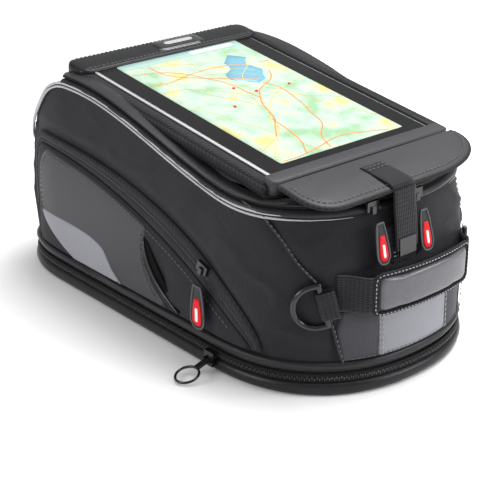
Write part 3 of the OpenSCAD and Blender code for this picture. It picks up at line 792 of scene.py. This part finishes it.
# lid: a padded panel in the tablet's plane, and a strip of cloth from its edge to the roll
LID_Z = 168
edge = [ring_pt(c, LID_Z, -16) for c, _ in columns(8) if ring_pt(c, LID_Z)[1] < HINGE_Y]
edge = [(p[0], (p[1] - FACE_Y) / math.cos(TILT)) for p in edge]
lid_outline = sorted([p for p in edge if p[0] < 0], key=lambda p: -p[1])
lid_outline += sorted([p for p in edge if p[0] >= 0], key=lambda p: p[1])
flange = []
for c in [c for c, _ in columns(5) if ring_pt(c, LID_Z)[1] < HINGE_Y - 0.5]:
    a = ring_pt(c, lid_top(ring_pt(c, 160)[1]) - 1.2, -10.5)
    b = ring_pt(c, LID_Z, -16.5)
    b[2] = FACE_Z + (b[1] - FACE_Y) * math.tan(TILT) - 15.4
    m = a.lerp(b, 0.5) + Vector((0, 0, 0.8))
    flange.append([a, m, b, b - Vector((0, 0, 1.2)), m - Vector((0, 0, 1.6)), a - Vector((0, 0, 1.6))])
grid("lid_flange_cloth", flange, "lining", "lid", close_u=True)
lid = slab("lid_panel_soft", lid_outline, [(0, -17.2), (0, -15.0), (1, -14.6)], tilted, "lining", "lid",
           fill=12, step=6)
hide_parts("lid_panel")
tabs = [slab("hinge_web_" + label, rounded(s * 86 - 10, s * 86 + 10, 117, 137.8, 2), [(0, -14.2), (0, -13.1)],
             tilted, "webbing", "lid", fill=6) for s, label in SIDES]
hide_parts("lid_hinge_tabs")


def hinge_cloth(name, path, half):
    """A fixed strip of cloth across a hinge, riding no body."""
    pts, thick = resample([(0, y, z) for y, z in path], 0.8), 0.7
    xs = np.linspace(-half, half, 24)
    outer = [[Vector((x, p[1], p[2])) for x in xs] for p in pts]
    inner = [[Vector((x, p[1], p[2] - thick)) for x in xs] for p in reversed(pts)]
    strip = grid(name, outer + inner, "roll", None, close_v=True)
    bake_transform(strip)


hinge_cloth("lid_hinge_cloth", [(131, 188.6), (126, 191.6), (121, 192.9), (115, 191.6)], 88)
hinge_cloth("holder_hinge_cloth", [(116, 192.4), (120.6, 192.8), (121.8, 193.8), (121.2, 195.6)], 84)

# ---------------------------------------------------------------- side pockets
def bezier(a, b, c, d, n=10):
    out = []
    for i in range(n + 1):
        t, s = i / n, 1 - i / n
        out.append(tuple(s ** 3 * p + 3 * s * s * t * q + 3 * s * t * t * r + t ** 3 * w
                         for p, q, r, w in zip(a, b, c, d)))
    return out


# outlines on the side wall, as (y, z)
POCKET_YS = [POCKET_Y - POCKET_LEN * math.sin(math.radians(i * 2.5)) for i in range(37)]
pocket_outline = [(158, FOOT), (158, 112), (154, 123), (146, 129)] + [(y, pocket_seam(y)) for y in POCKET_YS]
panel_outline = ([(-38, 31.5), (95, 31.5)] + bezier((115, 40), (133, 48), (152, 62), (151, 90))
                 + bezier((150, 100), (148, 116), (140, 126), (131, 127))
                 + [(y, pocket_seam(y) - 3) for y in (100, 80, 60, 40, 20, 4, -12)]
                 + bezier((-12, 84), (-7, 66), (-18, 46), (-36, 36)))
patch_outline = ([(24, 32.5), (95, 32.5)] + bezier((104, 36), (120, 42), (140, 54), (145, 66))
                 + bezier((140, 67), (100, 66), (62, 68), (47, 57)) + [(36, 42)])


def pocket(side, label):
    body = label + "_pocket"

    def wall(u, v, h):
        return side_pt(side, u, v, h)

    def swell(u, v, d):
        """Puffed cloth with wrinkles, scooped behind the slot; under the panel it lies low."""
        wrinkle = noise.noise(Vector((u * 0.022, v * 0.05, 4.0)))
        scoop = -3.2 * math.exp(-((u + 30) / 16) ** 2 - ((v - 62) / 20) ** 2)
        roll = 1.6 * math.exp(-((v - 46 - 0.0025 * (u + 40) ** 2) / 9) ** 2) * (1 if u < -30 else 0)
        fine = noise.noise(Vector((u * 0.09, v * 0.09, 1)))
        puff = 2.6 * (1 - math.exp(-d / 14))
        return (puff + 1.4 * max(0, wrinkle) + 0.4 * fine + scoop + roll) * (0.25 if u > -10 else 1)

    p = slab("pocket_%s_soft" % label, pocket_outline, [(0, -0.4), (0, 1.4), (0.8, 2.3), (2.2, 2.6)], wall,
             "body", body, fill=3.6, height=swell)
    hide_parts("pocket_" + label)
    panel = slab("moulded_panel_%s_soft" % label, panel_outline,
                 [(0, 2.0), (0.1, 3.1), (0.9, 3.9), (2.4, 4.2)], wall, "moulded", body, fill=4.2, back=False,
                 height=crown(0.9, 12))
    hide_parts("moulded_panel_" + label)
    patch = slab("reflective_patch_%s_soft" % label, patch_outline,
                 [(0, 4.0), (0.1, 5.0), (0.7, 5.5), (1.6, 5.6)], wall, "patch", body, fill=4.2, step=2.4,
                 back=False, height=crown(0.5, 8))
    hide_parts("reflective_patch_" + label)
    lip = [side_pt(side, u, v, 5.0) for u, v in bezier((-12, 88), (-14, 65), (-30, 49), (-58, 34.5), 24)]
    trim = tube("slot_lip_" + label, lip, lambda t: 1.9 * max(0.25, math.sin(math.pi * t)) ** 0.5,
                "gloss", body, flat=0.7)
    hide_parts("slot_trim_" + label)
    # crescent behind the lip, covered in near-black cloth as painted shadow of the slot's recess, not a
    # lining
    crescent = bezier((-12, 89), (-15, 66), (-31, 50), (-57, 35), 16)
    crescent += bezier((-59, 36.5), (-43, 52), (-27, 66), (-15, 89.5), 16)[:-1]
    slab("slot_shade_" + label, crescent, [(0, 3.2), (0, 4.2), (0.4, 4.6)], wall, "shade", body,
         fill=3, step=2, back=False)
    ring = inset_outline(loop2(panel_outline, 3), 4.2)
    front_part = [side_pt(side, q[0], q[1], 4.95) for q in ring if q[0] > 98]
    stitches("stitch_panel_front_" + label, front_part, "thread", body)
    back_part = [side_pt(side, q[0], q[1], 4.95) for q in ring if q[0] < -6 and 38 < q[1] < 92]
    stitches("stitch_panel_rear_" + label, back_part, "thread", body)
    top_line = [side_pt(side, y, pocket_seam(y) - 4.5, 4.6 if y > -12 else 4.4)
                for y in POCKET_YS if -120 < y < 128]
    stitches("stitch_pocket_top_" + label, top_line, "thread", body)

    # zip tape round the pocket, with its coil
    rows, uvs, coil = [], [], []
    inner_p = [(158.4, 66), (158.4, 90), (158.4, 112), (154.4, 123), (146, 129.5)]
    outer_p = [(166, 66), (166, 90), (165, 116), (160, 131), (149, 140)]
    for k in range(60):
        turn = math.sin(math.radians(90 * k / 59))
        yi, yo = POCKET_Y - POCKET_LEN * turn, POCKET_Y - TAPE_LEN * turn
        inner_p.append((yi, pocket_seam(yi) + 1.1))
        outer_p.append((yo, zip_seam(yo) + 1.0))
    prof = [(0.0, 0.6), (0.08, 1.4), (0.38, 1.6), (0.42, 0.9), (0.58, 0.9), (0.62, 1.6), (0.92, 1.5),
            (1.0, -0.4)]
    total = 0
    for k, (a, b) in enumerate(zip(inner_p, outer_p)):
        if k:
            total += math.dist(a, inner_p[k - 1])
        rows.append([side_pt(side, a[0] + (b[0] - a[0]) * t, a[1] + (b[1] - a[1]) * t, o + 0.8)
                     for t, o in prof])
        uvs.append([(total, t * 12) for t, _ in prof])
        coil.append(side_pt(side, (a[0] + b[0]) / 2, (a[1] + b[1]) / 2, 2.0))
    tape = grid("side_tape_" + label, rows, "zipgrey", "bag_body", uvs=uvs)
    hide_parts("side_zip_" + label)
    pts = resample(coil, 1.7)
    places = []
    for i in range(len(pts) - 1):
        d = (pts[i + 1] - pts[i]).normalized()
        n = Vector((side, 0, 0))
        places.append((pts[i], d, n.cross(d), n))
    coil = teeth("side_teeth_" + label, places, "coil", "bag_body", long=2.6, wide=1.0, high=0.7)


for side, label in SIDES:
    pocket(side, label)

# ---------------------------------------------------------------- rider end
panel = slab("end_panel_soft", rounded(-38, 38, 29.2, 68, 1.5), [(0, 0), (0.1, 1.4), (0.8, 2.2), (2, 2.6)],
             end_pt, "patch", "bag_body", step=2.5, back=False, height=crown(1.4, 9))
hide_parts("end_panel")
for s, label in SIDES:
    o = [(s * 38.4, 29.2), (s * 66, 29.2), (s * 70, 56), (s * 66, 72), (s * 38.4, 68)]
    q = slab("end_patch_" + label, o, [(0, 0), (0.1, 1.2), (0.8, 2.0), (1.8, 2.3)], end_pt, "sidepatch",
             "bag_body", step=2.5, back=False, height=crown(1.2, 9))
    if s < 0:
        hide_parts("end_patches")
    for part, x, out in (("", 38.3, 3.1), ("in_", 36, 4.0)):
        stitches("stitch_end_" + part + label, [end_pt(s * x, z, out) for z in range(31, 68, 2)],
                 "threadlight", "bag_body")
    stitches("stitch_end_low_" + label, [end_pt(s * x, 31.4, 3.4) for x in range(2, 66, 2)],
             "thread", "bag_body")

anchor = slab("anchor_web", rounded(-26.5, -1.5, 104, 134, 1.5), [(0, 0.5), (0, 3.4), (0.6, 4.0)], end_pt,
              "webbing", "bag_body", step=2.5)
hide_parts("strap_anchor")
for z in (110.5, 113.5):
    stitches("stitch_anchor_%d" % int(z), [end_pt(x, z, 4.6) for x in range(-25, -2, 2)],
             "threadlight", "bag_body", r=0.5)

# ---------------------------------------------------------------- straps, handle and D-ring loops
def ribbon(name, path, across, width, thick, mat, body):
    """Webbing: a flat strap with rounded edges along a path. across is the width direction."""
    pts = resample(path, 3.0)
    c = Vector(across).normalized()
    s = along(pts)
    rows, uvs = [], []
    for i, p in enumerate(pts):
        d = (pts[min(len(pts) - 1, i + 1)] - pts[max(0, i - 1)]).normalized()
        n = c.cross(d).normalized()
        prof = [(t * width / 2, thick / 2 * (1 - abs(t) ** 12)) for t in (k / 12 * 2 - 1 for k in range(13))]
        prof += [(a, -b) for a, b in reversed(prof[1:-1])]
        rows.append([p + c * a + n * b for a, b in prof])
        uvs.append([(a, s[i]) for a, _ in prof])
    ends = [[sum(row, Vector()) / len(row)] * len(row) for row in (rows[0], rows[-1])]
    rows = [ends[0]] + rows + [ends[1]]
    uvs = [uvs[0]] + uvs + [uvs[-1]]
    return grid(name, rows, mat, body, close_u=True, uvs=uvs, weld=True)


HANDLE_OUT, HANDLE_Z, BOW = 221.0, 88.0, 210.0


def bow_y(x):
    """The bowed line of the handle's grip."""
    return -HANDLE_OUT + BOW - math.sqrt(BOW * BOW - x * x)


FOOT_X, FOOT_Y = 64.5, -199.5                   # where the handle leaves the wall
hpath = [(-71, -193.6), (-FOOT_X, FOOT_Y)] + [(x, bow_y(x) - 1) for x in range(-56, 57, 4)]
hpath += [(FOOT_X, FOOT_Y), (71, -193.6)]
web = ribbon("handle_web", [(x, y, HANDLE_Z) for x, y in hpath], (0, 0, 1), 31, 2.4, "webbing", "handle")
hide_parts("handle_webbing")


def pad_pt(u, v, h):
    return Vector((u, bow_y(u) - 0.5 - h, HANDLE_Z + v))


pad = slab("handle_pad_soft", rounded(-50, 50, -15.2, 15.2, 5),
           [(3, -3.2), (0.6, -2.4), (0, 0), (0.6, 2.4), (3, 3.4)], pad_pt, "pad", None, height=crown(1.0, 6))


def inflate(obj, voxel=0.0036, pressure=4.0, cap=0.0045, frames=20):
    """Swells a closed piece with a short cloth run, then caps how far each point moved and applies it."""
    bpy.context.view_layer.objects.active = obj
    obj.select_set(True)
    mod = obj.modifiers.new("remesh", "REMESH")
    mod.mode = "VOXEL"
    mod.voxel_size = voxel
    mod.use_smooth_shade = True
    bpy.ops.object.modifier_apply(modifier="remesh")
    rest = [v.co.copy() for v in obj.data.vertices]
    cloth = obj.modifiers.new("cloth", "CLOTH")
    cloth.settings.use_pressure = True
    cloth.settings.uniform_pressure_force = pressure
    cloth.settings.effector_weights.gravity = 0
    cloth.settings.quality = 6
    scene = bpy.context.scene
    for f in range(1, frames + 1):
        scene.frame_set(f)
    dg = bpy.context.evaluated_depsgraph_get()
    swollen = [v.co.copy() for v in obj.evaluated_get(dg).data.vertices]
    obj.modifiers.remove(cloth)
    scene.frame_set(1)
    for v, r, s in zip(obj.data.vertices, rest, swollen):
        move = s - r
        if move.length > cap:
            move *= cap / move.length
        v.co = r + move
    sub = obj.modifiers.new("fine", "SUBSURF")
    sub.levels = sub.render_levels = 1
    bpy.ops.object.modifier_apply(modifier="fine")
    obj.data.polygons.foreach_set("use_smooth", [True] * len(obj.data.polygons))
    obj.select_set(False)


inflate(pad)
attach(pad, "handle")
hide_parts("handle_pad")
ring = loop2(rounded(-52.5, 52.5, -16.4, 16.4, 5), 3)
tube("pad_binding", [pad_pt(p[0], p[1], 1.2) for p in ring], 1.7, "binding", "handle", closed=True)
stitches("stitch_pad", [pad_pt(p[0], p[1], 2.9) for p in ring + ring[:2]], "threadlight", "handle",
         length=2.2, gap=1.4, r=0.42)
for s, label in SIDES:
    for dz in (-12, 12):
        line = [Vector((s * x, FOOT_Y - 1.6 - (FOOT_X - x) * 1.2, HANDLE_Z + dz)) for x in range(64, 53, -2)]
        stitches("stitch_web_%s_%d" % (label, dz + 12), line, "thread", "handle")

# webbing loops of the D-rings, made on the left and mirrored
turn, lean = math.radians(141.2), math.radians(14)
for s, label in SIDES:
    rot = Matrix.Rotation(turn, 3, "Z") @ Matrix.Rotation(lean, 3, "Y")
    loop = [(-11, 3.2), (-6, 3.7), (0, 3.9), (3.2, 2.4), (3.9, 0)]
    loop += [(a, -b) for a, b in reversed(loop[:-1])]
    pts = [rot @ Vector((a, b, 0)) + Vector((-80.4, -189.5, 79)) for a, b in loop]
    axis = rot @ Vector((0, 0, 1))
    if s > 0:
        pts = [Vector((-p[0], p[1], p[2])) for p in pts]
        axis = Vector((-axis[0], axis[1], axis[2]))
    lp = ribbon("dring_web_" + label, pts, axis, 24, 1.6, "webbing", "bag_body")
    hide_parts("dring_loop_" + label)

# closure strap: tab on the flap, hanging part with its hook
STRAP_X, STRAP_W = -14, 25
tab_path = [(-152, 4.2), (-160, 4.4), (-172, 4.4), (-182, 4.3), (-186.6, 3.0), (-188.0, 0.4)]
tab = ribbon("strap_on_flap", [tilted(STRAP_X, a, w) for a, w in tab_path], (1, 0, 0), STRAP_W, 1.7,
             "webbing", "flap")
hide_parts("strap_tab")
hang = [(-206.4, 163.6), (-207.4, 150), (-209.5, 136), (-211.2, 121), (-211.6, 116)]
strap = ribbon("strap_hanging", [(STRAP_X, y, z) for y, z in hang], (1, 0, 0), STRAP_W, 1.9,
               "webbing", "strap")
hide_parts("closure_strap")
for part, a, w in (("a", -156, 5.5), ("b", -160, 5.6)):
    stitches("stitch_strap_" + part, [tilted(x, a, w) for x in range(-25, -2, 2)], "thread", "flap", r=0.5)

# ---------------------------------------------------------------- tablet holder and flap
def plate(name, outline, low_w, high_w, mat, r=2.2, rise=0.6, fill=5.0):
    """A piece of the holder between two heights, with a rounded upper edge and a slight crown."""
    prof = [(0.8, low_w), (0, low_w + 0.9), (0, high_w - r), (0.3 * r, high_w - 0.3 * r), (r, high_w)]
    arch = crown(rise, 7)
    return slab(name, outline, prof, tilted, mat, "holder", fill=fill,
                height=lambda u, v, d: arch(u, v, d) + 0.12 * noise.noise(Vector((u * 0.08, v * 0.08, 3))))


UNDER = -9.6                                    # underside of the frame, in the tablet's plane
tray = plate("holder_tray_soft", rounded(-101, 99, -134, 139, 10), -12.6, -9.7, "binding",
             r=1, rise=0, fill=14)
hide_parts("holder_tray")
front = plate("holder_front_soft", rounded(-101, 99, 108.6, 139, 9), UNDER, 2.4, "frame", rise=1.2)
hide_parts("holder_frame")
plate("holder_rear_soft", rounded(-98, 97, -133.9, -119.4, 4), UNDER, 2.4, "holder", r=1.6, rise=0.4)
plate("holder_right_soft", rounded(88.4, 99.6, -127, 118, 4), UNDER, 1.3, "frame")
plate("holder_left_soft", rounded(-101, -88.4, -127, 118, 4), UNDER, -1.2, "binding", r=2.6, rise=0.5)
tube("left_bright_edge", [tilted(-89.4, a, -0.2) for a in range(-122, 109, 5)], 1.0,
     "silver", "holder")
tube("left_binding", [tilted(-100.8, a, -6.0) for a in range(-128, 132, 5)], 3.1, "binding", "holder")
stitches("stitch_front", [tilted(x, 111.8, 3.5) for x in range(-94, 94, 2)], "thread", "holder")
stitches("stitch_front_b", [tilted(x, 135.6, 3.3) for x in range(-92, 92, 2)], "thread", "holder")
badge = plate("front_badge_soft", rounded(-13, 39, 114.5, 134.5, 6), 2.0, 4.2, "gloss", r=1.4, rise=0.3)
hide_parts("holder_badge")
plate("badge_bar", rounded(-3, 29, 121.5, 127.0, 2.6), 4.2, 4.9, "piping", r=0.7, rise=0.1)


def flap_pt(u, v, h):
    """A point of the flap, which droops beyond the holder."""
    drop = 0.0007 * max(0, -v - 150) ** 2
    return tilted(u, v, h - drop)


flap_outline = ([(96, -137)] + bezier((96, -148), (91, -170), (68, -184), (34, -186)) + [(-58, -187)]
                + bezier((-74, -187), (-92, -186), (-99, -176), (-99, -160)) + [(-98, -137)])
flap_prof = [(1.2, -0.2), (0.2, 0.5), (0, 1.5), (0.5, 2.6), (1.4, 3.2), (3.4, 3.3)]
arch = crown(1.0, 9)
flap = slab("flap_soft", flap_outline, flap_prof, flap_pt, "holder", "flap",
            height=lambda u, v, d: arch(u, v, d) + 0.5 * noise.noise(Vector((u * 0.03, v * 0.05, 9))))
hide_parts("holder_flap")
loop = loop2(flap_outline, 3)
tube("flap_binding", [flap_pt(p[0], p[1], 1.3) for p in loop if p[1] < -138], 1.5, "binding", "flap")
stitches("stitch_flap", [flap_pt(p[0], p[1], 4.3) for p in inset_outline(loop, 5) if p[1] < -144],
         "thread", "flap")

# screen with a plain made-up map
def map_paper():
    """Paper of the map: soft land colours, faintly lit."""
    m = bpy.data.materials.new("map_paper")
    m.use_nodes = True
    nodes, links = m.node_tree.nodes, m.node_tree.links
    bsdf = nodes["Principled BSDF"]
    place = nodes.new("ShaderNodeTexCoord")
    land = nodes.new("ShaderNodeTexNoise")
    land.inputs["Scale"].default_value = 42
    land.inputs["Detail"].default_value = 5
    links.new(place.outputs["Object"], land.inputs["Vector"])
    col = ramp(nodes, links, land.outputs["Fac"],
               [(0.34, (0.26, 0.42, 0.25)), (0.45, (0.36, 0.50, 0.39)), (0.53, (0.42, 0.54, 0.43)),
                (0.60, (0.47, 0.53, 0.37)), (0.68, (0.52, 0.50, 0.20))])
    links.new(col, bsdf.inputs["Base Color"])
    links.new(col, bsdf.inputs["Emission Color"])
    bsdf.inputs["Emission Strength"].default_value = 0.05
    bsdf.inputs["Roughness"].default_value = 0.35
    bsdf.inputs["Specular IOR Level"].default_value = 0.15
    return m


M["map"] = map_paper()
M["bar"] = material("screen_bar", (0.30, 0.44, 0.41), 0.4, 0.06, "grain", 300, 0.01, specular=0.1)
M["lake"] = material("map_lake", (0.15, 0.36, 0.46), 0.3, 0.1, "grain", 200, 0.01)
M["road"] = material("map_road", (0.75, 0.25, 0.06), 0.4, 0.1, "grain", 200, 0.01)
M["lane"] = material("map_lane", (0.62, 0.50, 0.14), 0.4, 0.1, "grain", 200, 0.01)


def sheet(name, outline, low, high, mat, fill=12):
    """A thin layer on the screen."""
    slab(name, outline, [(0, low), (0.05, high)], tilted, mat, "holder", fill=fill, back=False)


sheet("screen_map", rounded(-68, 68, -108.5, 108.5, 0.8), 0.05, 0.22, "map")
sheet("screen_bar_top", rounded(-68, 68, 97.5, 108.4, 0.5), 0.2, 0.34, "bar")
sheet("screen_search", rounded(10, 60, 100.2, 105.8, 2.4), 0.34, 0.42, "white")
lake = [(22, 20), (34, 26), (44, 44), (40, 60), (50, 72), (38, 84), (24, 70), (20, 56), (8, 50), (2, 38),
        (12, 30)]
lake_pts = loop2([(a + 2.4 * noise.noise(Vector((a * 0.2, b * 0.2, 0))), b) for a, b in lake], 2.0)
sheet("map_lake_shape",
      [(p[0] + 1.8 * noise.noise(Vector((p[0] * 0.22, p[1] * 0.22, 5))), p[1]) for p in lake_pts],
      0.2, 0.3, "lake", fill=8)
ROAD_TOP = 0.36
for k in range(26):
    mat, w = ("lane", 0.34) if k % 3 else ("road", 0.6)
    x, y = -66 + (k * 37) % 132, -106 + (k * 53) % 190
    ang, pts = k * 0.9, []
    for _ in range(60):
        ang += 0.16 * noise.noise(Vector((x * 0.04, y * 0.04, k)))
        x += 2.4 * math.cos(ang)
        y += 2.4 * math.sin(ang)
        if abs(x) > 67 or y > 97 or y < -107.5:
            break
        pts.append((x, y))
    if len(pts) < 5:
        continue
    rows = []
    for i, p in enumerate(pts):
        a, b = Vector(pts[max(0, i - 1)]), Vector(pts[min(len(pts) - 1, i + 1)])
        d = (b - a).normalized()
        rows.append([tilted(p[0] - d[1] * w, p[1] + d[0] * w, ROAD_TOP),
                     tilted(p[0] + d[1] * w, p[1] - d[0] * w, ROAD_TOP)])
    grid("map_road_%02d" % k, rows, mat, "holder")
for k, (x, y) in enumerate(((-6, 22), (8, 8), (44, 6), (-30, -8))):
    slab("map_mark_%d" % k, rounded(x - 1.8, x + 1.8, y - 1.8, y + 1.8, 1.7), [(0, ROAD_TOP), (0.3, 1.0)],
         tilted, "red", "holder", back=False)

# ---------------------------------------------------------------- pulls
def pull(name, node, body, w, h, thick, place):
    """A rubber pull with a bound edge, a red label and a white bar. place(u, v, out) gives the point."""
    half = [(0.28, 0), (0.42, -0.3), (0.5, -0.66), (0.5, -0.84), (0.3, -0.97), (0, -1.0)]
    half += [(-a, b) for a, b in reversed(half[:-1])]
    o = [(a * w, b * h) for a, b in half]
    blank = slab(name, o, [(0.5, 0), (0, 0.5), (0, thick - 0.5), (0.7, thick)], place, "pull", body,
                 fill=2, step=1.5)
    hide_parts(node)
    rim = loop2(inset_outline(o, 0.4), 1.5)
    tube(name + "_rim", [place(p[0], p[1], thick) for p in rim], 0.75, "pullrim", body, closed=True, sides=8)
    tag = [(a * w * 0.66, b * h * 0.62 - h * 0.3) for a, b in half]
    slab(name + "_label", tag, [(0, thick - 0.2), (0, thick + 0.5), (0.5, thick + 0.9)], place, "red", body,
         fill=2, step=1.5, back=False)
    slab(name + "_bar", rounded(-w * 0.1, w * 0.1, -h * 0.82, -h * 0.5, w * 0.06),
         [(0, thick + 0.7), (0.2, thick + 1.25)], place, "white", body, fill=2, step=1, back=False)


for s, label in SIDES:
    pull("side_pull_" + label, "pocket_pull_" + label, label + "_pocket_pull", 17, 38, 2.4,
         lambda u, v, h, s=s: Vector((s * (122.7 + h), -91 - u, 74 + v)))
hang_sin, hang_cos = math.sin(math.radians(13)), math.cos(math.radians(13))
for label, x0, y0 in (("left", -39, -195.2 - 6.2), ("right", 6.5, -198 - 6.2)):
    pull("top_pull_" + label, "main_pull_" + label, label + "_main_pull", 13, 33, 2.0,
         lambda u, v, h, x0=x0, y0=y0: Vector((x0 + u, y0 - 1.2 + (v - 5) * hang_sin - h,
                                               146 + (v - 5) * hang_cos)))

# ---------------------------------------------------------------- CAD nodes that stay
KEEP = {
    "ring_socket": "plastic", "latch_spring": "steel", "lock_latch": "latch", "floor_board": "board",
    "expansion_slider": "enamel", "ring_pull": "enamel", "dring_left": "enamel", "dring_right": "enamel",
    "pocket_slider_left": "enamel", "pocket_slider_right": "enamel", "main_slider_left": "enamel",
    "main_slider_right": "enamel", "strap_hook": "enamel", "tablet_case": "shell", "tablet_glass": "glass"}
for node, mat in KEEP.items():
    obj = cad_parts[node]
    if not obj.material_slots:
        obj.data.materials.append(M[mat])
    for slot in obj.material_slots:
        slot.material = M[mat]
    if "slider" in node or node == "strap_hook":
        bev = obj.modifiers.new("bevel", "BEVEL")
        bev.width = 0.0009
        bev.segments = 3
        bev.limit_method = "ANGLE"


# ---------------------------------------------------------------- camera, floor and light
def stage():
    """Camera solved from the photo, white floor, white world and three area lights."""
    scene = bpy.context.scene
    scene.view_settings.view_transform = "Standard"
    cam_data = bpy.data.cameras.new("camera")
    cam_data.lens = 97.2
    cam_data.sensor_width = 36
    cam_data.clip_end = 20
    cam = bpy.data.objects.new("camera", cam_data)
    cam.location = (-0.7274, -0.8484, 0.5361)
    back = Vector((-0.599339, -0.689461, 0.406737))
    cam.rotation_mode = "QUATERNION"
    cam.rotation_quaternion = (-back).to_track_quat("-Z", "Y")
    scene.collection.objects.link(cam)
    scene.camera = cam
    mesh = bpy.data.meshes.new("floor")
    half, low = 4, -0.0004
    mesh.from_pydata([(-half, -half, low), (half, -half, low), (half, half, low), (-half, half, low)],
                     [], [(0, 1, 2, 3)])
    floor = bpy.data.objects.new("floor", mesh)
    scene.collection.objects.link(floor)
    fm = bpy.data.materials.new("floor_white")
    fm.use_nodes = True
    bsdf = fm.node_tree.nodes["Principled BSDF"]
    bsdf.inputs["Base Color"].default_value = (0.93, 0.93, 0.93, 1)
    bsdf.inputs["Roughness"].default_value = 0.75
    mesh.materials.append(fm)
    world = bpy.data.worlds.new("world")
    world.use_nodes = True
    bg = world.node_tree.nodes["Background"]
    bg.inputs["Color"].default_value = (1, 1, 1, 1)
    bg.inputs["Strength"].default_value = 0.5
    scene.world = world

    def area(name, loc, target, size, power):
        data = bpy.data.lights.new(name, "AREA")
        data.shape = "RECTANGLE"
        data.size, data.size_y = size
        data.energy = power
        lamp = bpy.data.objects.new(name, data)
        lamp.location = loc
        lamp.rotation_mode = "QUATERNION"
        lamp.rotation_quaternion = (Vector(target) - Vector(loc)).to_track_quat("-Z", "Y")
        scene.collection.objects.link(lamp)

    area("key", (0.5, -0.1, 1.6), (0, 0, 0.1), (1.4, 1.0), 37)
    area("left", (-1.5, 0.3, 0.8), (0, 0, 0.1), (0.9, 0.5), 11)
    area("rear", (0.9, -1.4, 0.8), (0, 0, 0.1), (0.9, 0.5), 15)


stage()
